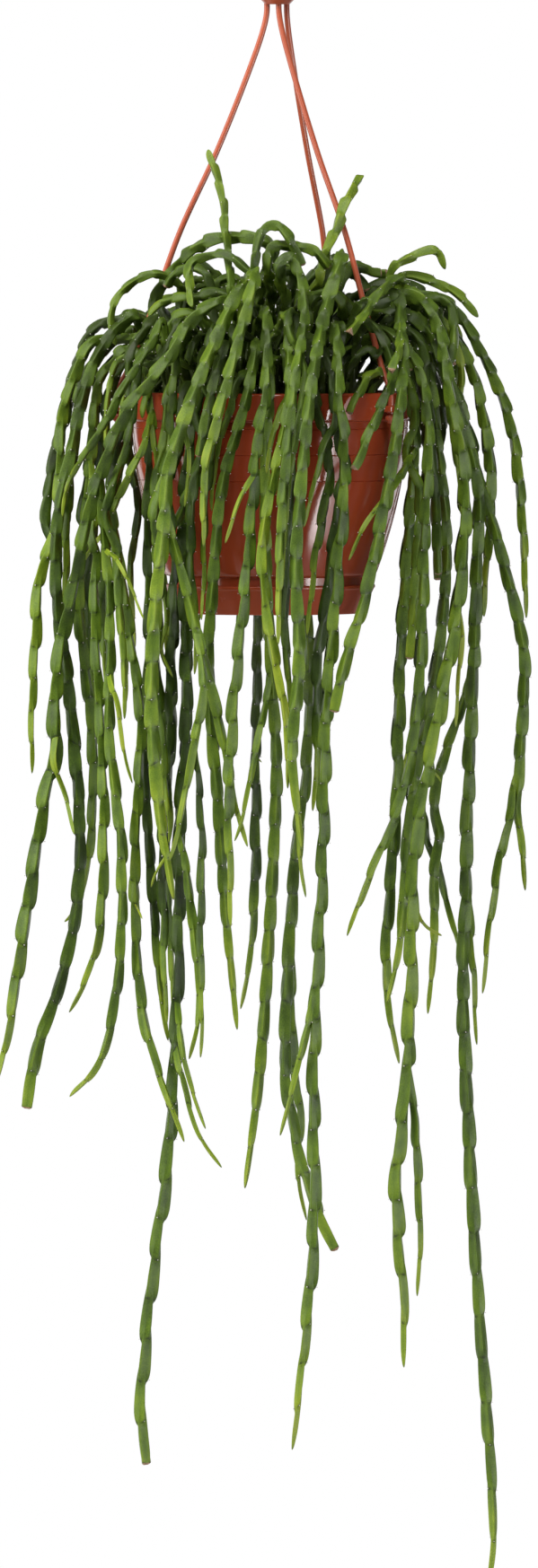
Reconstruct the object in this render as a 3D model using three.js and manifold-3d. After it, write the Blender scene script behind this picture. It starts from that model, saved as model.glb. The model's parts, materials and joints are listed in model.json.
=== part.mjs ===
// A mistletoe cactus in its hanging pot: jointed three-ribbed stems that arch up out of the
// peat, over the rim and down in a long curtain, and a plastic pot with a clip-on saucer on
// three strands and a hook. Millimetres, +Z up, origin where the hook hangs.
import * as THREE from "three";
import Module from "manifold-3d";
import { mergeVertices } from "three/addons/utils/BufferGeometryUtils.js";

// ---------------------------------------------------------------- driving dimensions
// Everything is placed from the centre of the rim's top plane, heights up from it.
const POT = {
  rimRadius: 90, // the nominal 18 cm pot
  edge: 1, // how much the rim's top edge is broken
  bandDrop: 17, // height of the rim's outer band
  step: 0.8, // slope under the band and over the neck
  shoulderRadius: 86, // wall just below the band
  waistRadius: 66, // wall where the curve ends
  waistDrop: 114,
  bulge: 1.8, // how late the wall curves in
  curveRings: [0.36, 0.7], // where the curve has a ring, as shares of its height
  neckRadius: 60,
  neckDrop: 120,
  footRadius: 55.5,
  footDrop: 135.7,
  wall: 2,
  studHole: 4.6,
  drain: { count: 6, radius: 4, ring: 34, sides: 8 },
};
const SAUCER = {
  rimRadius: 65.5,
  rimDrop: 120,
  baseRadius: 57.5,
  baseDrop: 138,
  wall: 1.6,
  floor: 2,
  lipHeight: 1.8, // bead round the rim
  lipDepth: 0.8,
};
// The saucer clips on by a stud through the middle of the pot's floor.
const STUD = { radius: 4, headRadius: 6.5, headHeight: 2.5 };
const SOIL = {
  crownDrop: 5, // its top, at the middle
  edgeDrop: 13, // and at the wall
  gap: 0.5, // clear space at the wall's top and at the floor
  lowGap: 1.5, // and at the wall below
};
// Lugs on the rim's band, each with a hole for the foot of a strand.
const EAR = {
  inner: 88.4,
  outer: 99.5,
  width: 12,
  top: -8,
  thick: 4,
  ring: 95, // distance of the hole from the pot's axis
  holeRadius: 2.4,
  holeSides: 10,
};
const STRANDS = { left: 180, front: -38, back: 61 }; // degrees round the pot
const STRAND = { radius: 1.8, sides: 6, steps: 15, knobRadius: 3.4, knobSides: 7, knobRings: 5 };
const HUB = {
  offset: 4.75, // from the pot's axis, to the right
  base: 241,
  height: 12,
  radius: 11,
  chamfer: 3.5,
  topChamfer: 2.5,
  neckRadius: 4,
  neckHeight: 3,
  sides: 12,
  socketDepth: 6,
  socketSides: 10,
};
const HOOK = {
  wire: 2.6,
  bend: 13, // radius of its bend
  hangingPoint: 295, // height of the highest point inside the bend
  rise: [[0, -2.1], [0.24, -1.35]], // from the hub to the bend, as shares of its radius
  turn: [-42, 0, 45, 90, 135, 180, 206], // and round the bend, in degrees
  sides: 6,
  steps: 24,
  ballRadius: 3.6,
  ballSides: 6,
  ballRings: 5,
};
const POT_SIDES = 26; // flats round the pot, its saucer and the peat alike
const FIT = 0.3; // clear space where one piece seats on another
const MERGE = 1e-4; // corners nearer than this are one corner
const SEED = 20;

const STEM = {
  link: 26, // length of one joint of a stem
  narrow: 0.64, // rib height at a link's start, as a share of its end
  riseAt: 0.05, // where along a link its ribs start
  fullAt: 0.92, // and where they stand highest
  bendLimit: 0.5, // a joint that turns more than this, in radians, gets a ring at its middle
  fewestLinks: 2,
  taper: 95, // length over which a tip thins
  taperPower: 0.8,
  tipShare: 0.4, // girth left at a growing tip
  endShare: 0.8, // and at a blunt or cut one
  point: 0.25, // size of a growing tip's last ring, as a share of the ring before
  baseShare: 0.74, // girth at a root or fork
  baseLength: 75, // length over which it fills out
  sunkDrop: 33, // how deep the roots' column stands in the peat
  rootRadius: 4.6,
  rootRise: 3, // how far the column reaches into the stem
  pocketGap: 0.4,
  rootField: 68, // the roots spread this far from the pot's axis
  rootPull: 0.6, // a root's wished place, as a share of where its stem's route starts
  step: 5.5, // spacing of the points a route is worked out on
  curveSteps: 14, // points between two of a route's own, before they are spaced evenly
};
// The stems hang in shells round the pot, one for each level, and level 1 is against the pot.
const SHELL = {
  first: 99, // distance of level 1 from the pot's axis
  spacing: 11,
  least: 10, // least depth in front of the axis, where a stem is as far aside as its shell
  leastSpacing: 8,
  archTop: 95, // the shells widen from this height
  archHeight: 110, // over this much
  archShare: 0.55, // from this share of their distance
};
const CLIMB = {
  foot: 0.5, // the first point's height above the peat
  upright: 9, // and the second's, straight over it
  lean: 0.3, // how far the third is on its way across
  lift: 0.66, // and on its way up
  lowStart: 25, // a route that starts below this height is led over the rim first,
  crest: 82, // at this distance from the axis
  crestHeight: 26, // and at one to two times this height
};
const SETTLE = {
  rounds: 260,
  space: 0.9, // clear space kept between two stems
  largestMove: 0.45,
  easing: 3, // how often a round's moves are spread along the stems
  plainRounds: 50, // the last rounds spread them once
  refresh: 8, // rounds between two searches for close pairs
  cell: 22, // size of the boxes that are searched
  slide: 0.8,
  slideRounds: 160, // the slide outward fades over these
  slideCentre: 40, // depth of the point in the peat that it goes away from
  freeLength: 80, // length from the root that may move any way
  free: [0.9, 1, 0.9], // how freely it moves across, in depth and in height
  traced: [0.4, 1, 0.4], // and how the rest does
  heldPoints: 2, // points at the root that never move
  forkLength: 30, // a stem may touch its parent for this long
  potSpace: 1.2, // clear space kept to the pot and saucer
  soilSpace: 1.5, // and to the peat
  wallMargin: 3,
  potReach: 112, // stems outside this radius and these heights are clear of the pot
  potAbove: 40,
  potBelow: 20,
};

// ---------------------------------------------------------------- the stems' routes
// Each spray is one root with the stems that fork from it. A route is a list of places,
// [mm to the right of the pot's axis, mm below the rim], negative above it. The girth is the
// rib's height above the stem's axis. The level says how far out a stem hangs and whether in
// front (positive) or behind, and "from" gives the number of the stem, in the same spray,
// that it grows out of. A tip tapers where nothing else is said.
const SPRAYS = {
  crown_upright_left: [
    { girth: 3.4, level: 2, route: [[-24, -64], [-27, -96], [-30, -124], [-39, -153]] },
  ],
  crown_upright_right: [
    { girth: 3.8, level: 2, tip: "blunt", route: [[35, -76], [38, -89], [43, -107], [49, -122],
      [58, -136]] },
  ],
  left_inner: [
    { girth: 4.6, level: 1, route: [[0, -92], [-18, -97], [-38, -94], [-61, -75], [-75, -52],
      [-77, -24], [-74, 6], [-70, 44], [-67, 69]] },
    { from: 0, girth: 3.8, level: 3, route: [[-74, 6], [-79, 34], [-89, 54], [-100, 76], [-117, 107]] },
    { from: 1, girth: 4.4, level: 2, route: [[-94, 64], [-95, 92], [-87, 150], [-80, 201],
      [-81, 233], [-84, 305], [-79, 383], [-71, 414], [-52, 466]] },
    { from: 0, girth: 4.4, level: 1, route: [[-72, 25], [-76, 66], [-75, 136], [-77, 203],
      [-82, 249]] },
    { from: 3, girth: 4.2, level: 1, route: [[-77, 203], [-77, 243], [-73, 305], [-68, 369],
      [-63, 402]] },
  ],
  crown_arc_outer_left: [
    { girth: 3.8, level: 2, route: [[-68, -73], [-84, -69], [-95, -58], [-101, -40], [-99, -31]] },
  ],
  crown_arc_low: [
    { girth: 4.2, level: 4, tip: "blunt", route: [[0, -82], [1, -92], [14, -93], [27, -89],
      [38, -78]] },
  ],
  left_outer: [
    { girth: 4.8, level: 2, route: [[-77, -32], [-93, -33], [-112, -29], [-122, -8], [-129, 13],
      [-131, 50], [-134, 86], [-143, 114], [-146, 159], [-148, 198], [-148, 238]] },
  ],
  left_long: [
    { girth: 5.6, level: 4, route: [[-25, -60], [-48, -46], [-63, -22], [-89, 11], [-101, 39],
      [-110, 66], [-118, 103], [-128, 151], [-136, 222], [-143, 270], [-155, 348], [-162, 395],
      [-171, 435]] },
    { from: 0, girth: 3.6, level: 4, route: [[-133, 201], [-131, 235], [-125, 258], [-121, 276]] },
    { from: 0, girth: 4.4, level: 3, route: [[-106, 53], [-102, 92], [-99, 216], [-92, 281],
      [-94, 362], [-105, 414], [-125, 439]] },
    { from: 2, girth: 2.8, level: 4, route: [[-102, 92], [-93, 105], [-87, 117], [-77, 141]] },
    { from: 2, girth: 3.2, level: 4, route: [[-100, 162], [-94, 195], [-89, 228], [-84, 244]] },
  ],
  left_deep: [
    { girth: 5.2, level: 3, tip: "blunt", route: [[-104, -24], [-114, -3], [-123, 36], [-132, 86],
      [-132, 136], [-122, 216], [-118, 287], [-122, 333], [-134, 379], [-145, 409], [-151, 447]] },
  ],
  left_middle: [
    { girth: 4.8, level: 2, route: [[-89, -26], [-105, -10], [-110, 24], [-114, 80], [-119, 125],
      [-110, 222], [-113, 291], [-121, 322], [-131, 333]] },
    { from: 0, girth: 4.4, level: 3, route: [[-109, 40], [-108, 92], [-105, 206], [-103, 259],
      [-106, 336], [-114, 364], [-127, 390]] },
  ],
  left_shaded: [
    { girth: 3.9, level: -1, route: [[-70, -20], [-84, 2], [-89, 31], [-82, 74], [-87, 109],
      [-84, 163]] },
  ],
  long_dark: [
    { girth: 5.2, level: 1, tip: "blunt", route: [[-41, -20], [-49, 25], [-53, 69], [-53, 114],
      [-52, 206], [-56, 270], [-57, 362], [-63, 472], [-74, 558], [-80, 634], [-77, 668]] },
    { from: 0, girth: 4.0, level: 3, route: [[-55, 273], [-51, 299], [-44, 383], [-51, 413]] },
    { from: 0, girth: 3.4, level: 3, route: [[-58, 382], [-55, 399], [-49, 427], [-38, 459]] },
    { from: 0, girth: 3.4, level: 2, route: [[-58, 405], [-55, 421], [-43, 460], [-28, 481]] },
  ],
  front_thick: [
    { girth: 5.8, level: 4, route: [[-18, -63], [-35, -30], [-52, 13], [-63, 49], [-65, 77],
      [-71, 136], [-73, 195], [-68, 259], [-59, 315]] },
    { from: 0, girth: 3.2, level: 3, route: [[-53, 15], [-50, 36], [-51, 55], [-53, 73]] },
    { from: 0, girth: 4.6, level: 3, route: [[-64, 72], [-52, 120], [-43, 155], [-27, 222],
      [-22, 254], [-13, 282]] },
    { from: 2, girth: 4.2, level: 4, route: [[-44, 152], [-41, 179], [-48, 222], [-57, 270],
      [-63, 292]] },
    { from: 3, girth: 3.6, level: 3, route: [[-47, 217], [-43, 254], [-42, 283], [-43, 326],
      [-42, 387], [-43, 411]] },
  ],
  front_bright: [
    { girth: 5.0, level: 4, route: [[-10, -74], [-22, -24], [-35, 24], [-40, 45], [-41, 95]] },
    { from: 0, girth: 4.2, level: 3, route: [[-11, -75], [-25, -84], [-39, -85], [-49, -80],
      [-49, -59], [-47, -50]] },
    { from: 0, girth: 4.4, level: 4, tip: "blunt", route: [[-5, -76], [-4, -101], [3, -104],
      [16, -87], [22, -76]] },
  ],
  front_short: [
    { girth: 4.2, level: 2, tip: "blunt", route: [[-27, -31], [-31, -19], [-38, 6], [-45, 43]] },
  ],
  front_middle: [
    { girth: 5.0, level: 3, route: [[-3, -51], [-3, 2], [-8, 29], [-12, 91], [-17, 136],
      [-24, 211], [-25, 265], [-24, 332]] },
    { from: 0, girth: 3.4, level: 4, route: [[-9, 41], [-18, 63], [-29, 96]] },
  ],
  front_slim: [
    { girth: 4.8, level: 2, route: [[-8, -29], [-15, 5], [-29, 55], [-35, 114], [-38, 174],
      [-32, 254], [-28, 312], [-20, 395]] },
  ],
  centre_shaded: [
    { girth: 4.4, level: -1, route: [[-6, -20], [-9, 36], [-10, 92], [-8, 148], [-9, 233],
      [-9, 297], [-12, 354], [-19, 392]] },
  ],
  front_yellow: [
    { girth: 4.4, level: 3, route: [[12, -23], [11, 8], [1, 58], [-5, 92], [-1, 140], [10, 202],
      [11, 247]] },
  ],
  front_arched: [
    { girth: 4.6, level: 4, route: [[5, -79], [14, -82], [21, -56], [15, 0], [10, 46], [6, 107],
      [5, 156]] },
  ],
  front_right: [
    { girth: 5.4, level: 4, route: [[43, -83], [34, -50], [25, -6], [20, 41], [16, 101], [18, 162],
      [14, 225], [20, 282]] },
  ],
  front_dark: [
    { girth: 4.4, level: 1, route: [[53, -51], [36, -28], [27, -6], [37, 43], [28, 101], [23, 151]] },
  ],
  centre_inner: [
    { girth: 5.0, level: 1, route: [[0, -9], [-3, 47], [-2, 114], [1, 176], [4, 230], [0, 326],
      [-7, 426], [-16, 496]] },
    { from: 0, girth: 3.6, level: 3, route: [[1, 181], [-8, 216], [-18, 265], [-22, 276]] },
  ],
  centre_deep: [
    { girth: 5.0, level: -1, tip: "blunt", route: [[28, -20], [29, 47], [24, 114], [25, 192],
      [22, 248], [17, 283], [10, 397], [10, 433], [20, 485], [32, 521], [44, 545]] },
    { from: 0, girth: 3.8, level: -2, route: [[13, 349], [15, 419], [19, 458], [18, 499], [24, 527]] },
  ],
  centre_long: [
    { girth: 5.2, level: 3, route: [[41, -40], [43, 8], [47, 35], [43, 101], [35, 197], [32, 302],
      [27, 405], [27, 518], [20, 600], [13, 658]] },
    { from: 0, girth: 3.8, level: 3, route: [[28, 377], [20, 405], [6, 459]] },
  ],
  right_inner: [
    { girth: 5.2, level: 4, tip: "blunt", route: [[70, -59], [78, -61], [81, -39], [81, 0],
      [74, 51], [59, 124], [46, 167], [39, 199]] },
    { from: 0, girth: 4.8, level: 4, tip: "cut", route: [[81, -42], [80, -29], [77, -19], [74, -11]] },
  ],
  right_short: [
    { girth: 4.6, level: 3, tip: "blunt", route: [[78, -17], [70, 5], [55, 37], [49, 47]] },
  ],
  right_second: [
    { girth: 4.8, level: 1, route: [[82, -20], [90, 27], [89, 51], [82, 151], [78, 263], [72, 348],
      [74, 383], [81, 421]] },
    { from: 0, girth: 4.0, level: 3, route: [[89, 39], [76, 58], [60, 79], [47, 103]] },
  ],
  right_third: [
    { girth: 4.8, level: 3, route: [[90, -20], [98, 18], [96, 85], [91, 202], [80, 254], [60, 302],
      [47, 337]] },
  ],
  right_fourth: [
    { girth: 4.6, level: 2, route: [[95, -26], [104, 30], [110, 96], [104, 169], [89, 247],
      [80, 344], [72, 380]] },
    { from: 0, girth: 3.8, level: 2, route: [[90, 238], [98, 268], [111, 322], [123, 362]] },
  ],
  right_thick: [
    { girth: 5.6, level: 4, route: [[81, -62], [100, -50], [112, 2], [121, 57], [117, 129],
      [105, 197], [90, 280], [87, 369], [84, 435], [78, 487], [83, 569], [83, 604]] },
    { from: 0, girth: 4.6, level: 3, route: [[70, -69], [82, -72], [100, -69], [115, -62],
      [127, -50], [132, -42]] },
    { from: 1, girth: 4.4, level: 4, tip: "cut", route: [[72, -69], [65, -58], [58, -48], [48, -37]] },
    { from: 0, girth: 4.2, level: 4, route: [[69, -70], [82, -80], [99, -88], [105, -87], [110, -72]] },
    { from: 0, girth: 4.0, level: 4, route: [[84, 430], [89, 447], [93, 527], [91, 562]] },
    { from: 0, girth: 3.2, level: 4, route: [[117, 122], [119, 148], [117, 175], [115, 208]] },
    { from: 0, girth: 3.2, level: 4, route: [[89, 304], [95, 328], [108, 337]] },
    { from: 0, girth: 4.2, level: 2, route: [[84, -62], [95, -54], [113, -34], [120, -8], [119, 11]] },
  ],
  longest: [
    { girth: 5.4, level: 3, route: [[72, -56], [95, -40], [114, 2], [128, 57], [128, 129],
      [124, 230], [120, 362], [123, 447], [129, 555], [138, 680], [139, 717], [136, 743]] },
    { from: 0, girth: 4.4, level: 2, route: [[126, 167], [119, 197], [103, 247], [102, 340],
      [98, 386]] },
    { from: 0, girth: 3.8, level: 2, route: [[122, 285], [125, 340], [129, 409]] },
  ],
  right_fifth: [
    { girth: 4.8, level: 1, route: [[78, -62], [99, -50], [122, -22], [134, 22], [138, 64],
      [134, 118], [133, 143]] },
  ],
  right_outer: [
    { girth: 5.0, level: 2, route: [[86, -42], [100, -23], [114, 2], [131, 58], [145, 105],
      [158, 162], [158, 186], [155, 243], [159, 313]] },
    { from: 0, girth: 4.2, level: 2, route: [[155, 241], [148, 263], [137, 329], [132, 376]] },
  ],
  right_outermost: [
    { girth: 5.0, level: -2, route: [[67, -59], [81, -62], [110, -55], [134, -20], [150, 21],
      [157, 74], [160, 146]] },
  ],
};

// Stems of the far side. Each hangs like the first stem of the spray it names, mirrored to
// the back, and keeps that share of its length.
const FAR_SIDE = [
  { like: "left_outer", girth: 4.6, level: -2, keep: 0.6 },
  { like: "left_long", girth: 5.0, level: -3, keep: 0.55 },
  { like: "left_middle", girth: 4.4, level: -1, keep: 0.6 },
  { like: "front_thick", girth: 5.0, level: -2, keep: 0.9 },
  { like: "front_middle", girth: 4.8, level: -3, keep: 0.8 },
  { like: "front_right", girth: 5.0, level: -2, keep: 0.7 },
  { like: "right_third", girth: 4.6, level: -2, keep: 0.72 },
  { like: "right_thick", girth: 5.2, level: -3, keep: 0.5 },
  { like: "right_fifth", girth: 4.4, level: -3, keep: 0.95 },
  { like: "right_outer", girth: 4.8, level: -1, keep: 0.65 },
];

// ---------------------------------------------------------------- helpers
const wasm = await Module();
wasm.setup();

const clamp01 = (value) => Math.min(Math.max(value, 0), 1);
const smooth = (value) => clamp01(value) ** 2 * (3 - 2 * clamp01(value));
const mix = (from, to, share) => from + (to - from) * share;

function positionsOnly(geometry) {
  geometry.deleteAttribute("normal");
  geometry.deleteAttribute("uv");
  return mergeVertices(geometry, MERGE);
}

function toSolid(geometry) {
  const merged = positionsOnly(geometry);
  return new wasm.Manifold(new wasm.Mesh({
    numProp: 3,
    vertProperties: new Float32Array(merged.attributes.position.array),
    triVerts: new Uint32Array(merged.index.array),
  }));
}

function toGeometry(solid) {
  const mesh = solid.getMesh();
  const geometry = new THREE.BufferGeometry();
  geometry.setAttribute("position", new THREE.BufferAttribute(mesh.vertProperties, 3));
  geometry.setIndex(new THREE.BufferAttribute(mesh.triVerts, 1));
  return geometry;
}

// A profile of [radius, height] pairs turned round the Z axis.
function turned(profile, sides) {
  const points = profile.map(([radius, height]) => new THREE.Vector2(radius, height));
  return new THREE.LatheGeometry(points, sides).rotateX(Math.PI / 2);
}

function upright(radius, height, sides) {
  return new THREE.CylinderGeometry(radius, radius, height, sides).rotateX(Math.PI / 2);
}

// A round bar along a curve.
function bar(curve, radius, sides, steps) {
  const section = new THREE.Shape();
  for (let corner = 0; corner < sides; corner += 1) {
    const angle = (corner / sides) * 2 * Math.PI;
    const x = radius * Math.cos(angle);
    const y = radius * Math.sin(angle);
    if (corner === 0) {
      section.moveTo(x, y);
    } else {
      section.lineTo(x, y);
    }
  }
  section.closePath();
  return new THREE.ExtrudeGeometry(section, { steps, extrudePath: curve, bevelEnabled: false });
}

// The same numbers on every run, from 0 to 1.
function seededDraw(seed) {
  const multiplier = 1664525;
  const increment = 1013904223;
  let state = seed;
  return () => {
    state = (Math.imul(state, multiplier) + increment) >>> 0;
    return state / 2 ** 32;
  };
}

// ---------------------------------------------------------------- pot, saucer and peat
function wallRadius(drop) {
  const share = clamp01((drop - POT.bandDrop) / (POT.waistDrop - POT.bandDrop));
  return mix(POT.shoulderRadius, POT.waistRadius, share ** POT.bulge);
}

function soilHeight(radius) {
  const share = clamp01(radius / (POT.shoulderRadius - POT.wall));
  return -mix(SOIL.crownDrop, SOIL.edgeDrop, share ** 2);
}

function wallDrops() {
  return POT.curveRings.map((share) => mix(POT.bandDrop, POT.waistDrop, share));
}

function makePot() {
  const outer = [
    [POT.rimRadius - POT.edge, 0],
    [POT.rimRadius, -POT.edge],
    [POT.rimRadius, -POT.bandDrop],
    [POT.shoulderRadius, -POT.bandDrop - POT.step],
    ...wallDrops().map((drop) => [wallRadius(drop), -drop]),
    [POT.waistRadius, -POT.waistDrop],
    [POT.neckRadius, -POT.waistDrop - POT.step],
    [POT.neckRadius, -POT.neckDrop],
    [POT.footRadius, -POT.footDrop],
  ];
  const inner = [
    [POT.studHole, -POT.footDrop],
    [POT.studHole, -POT.footDrop + POT.wall],
    [POT.footRadius - POT.wall, -POT.footDrop + POT.wall],
    [POT.neckRadius - POT.wall, -POT.neckDrop + POT.wall],
    [POT.neckRadius - POT.wall, -POT.waistDrop + POT.wall],
    ...wallDrops().toReversed().map((drop) => [wallRadius(drop) - POT.wall, -drop]),
    [POT.shoulderRadius - POT.wall, -POT.bandDrop],
    [POT.shoulderRadius - POT.wall, 0],
  ];
  const profile = [...outer, ...inner, outer[0]];
  let pot = toSolid(turned(profile.toReversed(), POT_SIDES));
  const { count, radius, ring, sides } = POT.drain;
  for (let hole = 0; hole < count; hole += 1) {
    const drill = upright(radius, 3 * POT.wall, sides);
    drill.translate(ring, 0, -POT.footDrop + POT.wall / 2);
    drill.rotateZ((hole / count) * 2 * Math.PI);
    pot = pot.subtract(toSolid(drill));
  }
  for (const azimuth of Object.values(STRANDS)) {
    pot = pot.add(toSolid(makeEar(azimuth)));
    const drill = upright(EAR.holeRadius, 3 * EAR.thick, EAR.holeSides);
    drill.translate(EAR.ring, 0, EAR.top - EAR.thick / 2);
    drill.rotateZ(THREE.MathUtils.degToRad(azimuth));
    pot = pot.subtract(toSolid(drill));
  }
  return toGeometry(pot);
}

function makeEar(azimuth) {
  const ear = new THREE.BoxGeometry(EAR.outer - EAR.inner, EAR.width, EAR.thick);
  ear.translate((EAR.outer + EAR.inner) / 2, 0, EAR.top - EAR.thick / 2);
  return ear.rotateZ(THREE.MathUtils.degToRad(azimuth));
}

const HEAD_BASE = -POT.footDrop + POT.wall + FIT;
const HEAD_TOP = HEAD_BASE + STUD.headHeight;

function makeSaucer() {
  const floorTop = -SAUCER.baseDrop + SAUCER.floor;
  const profile = [
    [0, -SAUCER.baseDrop],
    [SAUCER.baseRadius, -SAUCER.baseDrop],
    [SAUCER.rimRadius - SAUCER.lipDepth, -SAUCER.rimDrop - SAUCER.lipHeight - SAUCER.lipDepth],
    [SAUCER.rimRadius, -SAUCER.rimDrop - SAUCER.lipHeight],
    [SAUCER.rimRadius, -SAUCER.rimDrop],
    [SAUCER.rimRadius - SAUCER.wall, -SAUCER.rimDrop],
    [SAUCER.baseRadius - SAUCER.wall / 2, floorTop],
    [STUD.radius, floorTop],
    [STUD.radius, HEAD_BASE],
    [STUD.headRadius, HEAD_BASE],
    [STUD.radius, HEAD_TOP],
    [0, HEAD_TOP],
  ];
  return positionsOnly(turned(profile, POT_SIDES));
}

function makeSoil(roots) {
  const clear = POT.wall + SOIL.gap;
  const lowClear = POT.wall + SOIL.lowGap;
  const base = -POT.footDrop + POT.wall + SOIL.gap;
  const edge = POT.shoulderRadius - clear;
  const profile = [
    [0, HEAD_TOP + SOIL.gap],
    [STUD.headRadius + SOIL.lowGap, HEAD_TOP + SOIL.gap],
    [STUD.headRadius + SOIL.lowGap, base],
    [POT.footRadius - clear, base],
    [POT.neckRadius - lowClear, -POT.neckDrop + clear],
    [POT.neckRadius - lowClear, -POT.waistDrop + clear],
    ...wallDrops().toReversed().map((drop) => [wallRadius(drop) - lowClear, -drop]),
    [edge, -POT.bandDrop],
    [edge, soilHeight(edge)],
    [edge / 2, soilHeight(edge / 2)],
    [0, soilHeight(0)],
  ];
  let soil = toSolid(turned(profile, POT_SIDES));
  for (const root of roots) {
    const pocket = columnGeometry(
      root,
      STEM.rootRadius + 2 * STEM.pocketGap,
      -STEM.sunkDrop - STEM.pocketGap,
      0,
    );
    soil = soil.subtract(toSolid(pocket));
  }
  return toGeometry(soil);
}

// ---------------------------------------------------------------- hanger
function makeHub() {
  const top = HUB.base + HUB.height;
  const profile = [
    [0, HUB.base],
    [HUB.radius - HUB.chamfer, HUB.base],
    [HUB.radius, HUB.base + HUB.chamfer],
    [HUB.radius, top - HUB.topChamfer],
    [HUB.radius - HUB.topChamfer, top],
    [HUB.neckRadius, top + HUB.neckHeight],
    [0, top + HUB.neckHeight],
  ];
  let hub = toSolid(turned(profile, HUB.sides).translate(HUB.offset, 0, 0));
  const hook = bar(hookCurve(), HOOK.wire, HOOK.sides, HOOK.steps);
  hub = hub.add(toSolid(hook));
  const ball = new THREE.SphereGeometry(HOOK.ballRadius, HOOK.ballSides, HOOK.ballRings);
  const end = hookCurve().getPoint(1);
  hub = hub.add(toSolid(ball.translate(end.x, end.y, end.z)));
  for (const azimuth of Object.values(STRANDS)) {
    const place = strandPoint(azimuth, STRAND_LINE[0]);
    const socket = upright(STRAND.radius + 2 * FIT, 2 * HUB.socketDepth, HUB.socketSides);
    hub = hub.subtract(toSolid(socket.translate(place.x, place.y, HUB.base)));
  }
  return toGeometry(hub);
}

function hookCurve() {
  const centre = HOOK.hangingPoint - HOOK.bend + HOOK.wire;
  const points = [[0, HUB.base + HUB.height - HOOK.wire]];
  for (const [across, up] of HOOK.rise) {
    points.push([HOOK.bend * across, centre + HOOK.bend * up]);
  }
  for (const degrees of HOOK.turn) {
    const angle = THREE.MathUtils.degToRad(degrees);
    points.push([HOOK.bend * Math.cos(angle), centre + HOOK.bend * Math.sin(angle)]);
  }
  return new THREE.CatmullRomCurve3(
    points.map(([x, z]) => new THREE.Vector3(HUB.offset + x, 0, z)),
  );
}

// One strand, as [share of the way out from the hub to its ear, height above the rim].
const STRAND_LINE = [
  [0.067, HUB.base + HUB.socketDepth - 1],
  [0.067, HUB.base - HUB.socketDepth + 1],
  [0.09, HUB.base - 16],
  [0.18, HUB.base - 42],
  [0.38, HUB.base - 92],
  [0.61, HUB.base - 142],
  [0.79, HUB.base - 192],
  [0.93, 14],
  [1, 0],
  [1, EAR.top - EAR.thick - 2],
];

function strandPoint(azimuth, [share, height]) {
  const angle = THREE.MathUtils.degToRad(azimuth);
  return new THREE.Vector3(
    mix(HUB.offset, EAR.ring * Math.cos(angle), share),
    mix(0, EAR.ring * Math.sin(angle), share),
    height,
  );
}

function strandCurve(azimuth) {
  return new THREE.CatmullRomCurve3(STRAND_LINE.map((place) => strandPoint(azimuth, place)));
}

function makeStrand(azimuth) {
  const strand = toSolid(bar(strandCurve(azimuth), STRAND.radius, STRAND.sides, STRAND.steps));
  const foot = strandPoint(azimuth, STRAND_LINE.at(-1));
  const knob = new THREE.SphereGeometry(STRAND.knobRadius, STRAND.knobSides, STRAND.knobRings);
  knob.rotateX(Math.PI / 2);
  knob.translate(foot.x, foot.y, EAR.top - EAR.thick - FIT - STRAND.knobRadius);
  return toGeometry(strand.add(toSolid(knob)));
}

// ---------------------------------------------------------------- routes of the stems
// The shell a stem hangs on draws in above the rim, where the stems arch over.
function depthAt(x, drop, level) {
  const outward = Math.abs(level) - 1;
  const opened = smooth((drop + SHELL.archTop) / SHELL.archHeight);
  const reach = (SHELL.first + SHELL.spacing * outward) * mix(SHELL.archShare, 1, opened);
  const least = SHELL.least + SHELL.leastSpacing * outward;
  return -Math.sign(level) * Math.sqrt(Math.max(reach ** 2 - x ** 2, least ** 2));
}

function routePoints(stem) {
  return stem.route.map(([x, drop]) => (
    new THREE.Vector3(x, depthAt(x, drop, stem.level), -drop)
  ));
}

// Root places on an even spiral, so that no two roots touch.
function rootPlaces(count) {
  const places = [];
  const turn = Math.PI * (3 - Math.sqrt(5));
  for (let index = 0; index < count; index += 1) {
    const radius = STEM.rootField * Math.sqrt((index + 0.5) / count);
    places.push([radius * Math.cos(index * turn), radius * Math.sin(index * turn)]);
  }
  return places;
}

function squaredGap([ax, ay], [bx, by]) {
  return (ax - bx) ** 2 + (ay - by) ** 2;
}

// Gives each wish one place, then trades places while a trade brings both nearer in sum.
function shareOut(places, wishes) {
  const taken = places.slice(0, wishes.length);
  let traded = true;
  while (traded) {
    traded = false;
    for (let one = 0; one < wishes.length; one += 1) {
      for (let two = one + 1; two < wishes.length; two += 1) {
        const now = squaredGap(taken[one], wishes[one]) + squaredGap(taken[two], wishes[two]);
        const then = squaredGap(taken[two], wishes[one]) + squaredGap(taken[one], wishes[two]);
        if (then < now - MERGE) {
          [taken[one], taken[two]] = [taken[two], taken[one]];
          traded = true;
        }
      }
    }
  }
  return taken;
}

// The way from the root up to the first point of a route, over the rim where it starts low.
function climb([rootX, rootY], first, draw) {
  const ground = soilHeight(Math.hypot(rootX, rootY));
  const points = [
    new THREE.Vector3(rootX, rootY, ground + CLIMB.foot),
    new THREE.Vector3(rootX, rootY, ground + CLIMB.upright),
  ];
  const height = CLIMB.crestHeight * (1 + draw());
  let crest = first;
  if (first.z < CLIMB.lowStart) {
    const share = CLIMB.crest / Math.hypot(first.x, first.y);
    crest = new THREE.Vector3(first.x * share, first.y * share, height);
  }
  points.push(new THREE.Vector3(
    mix(rootX, crest.x, CLIMB.lean),
    mix(rootY, crest.y, CLIMB.lean),
    mix(ground, crest.z, CLIMB.lift),
  ));
  if (crest !== first) {
    points.push(crest);
  }
  return points;
}

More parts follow.
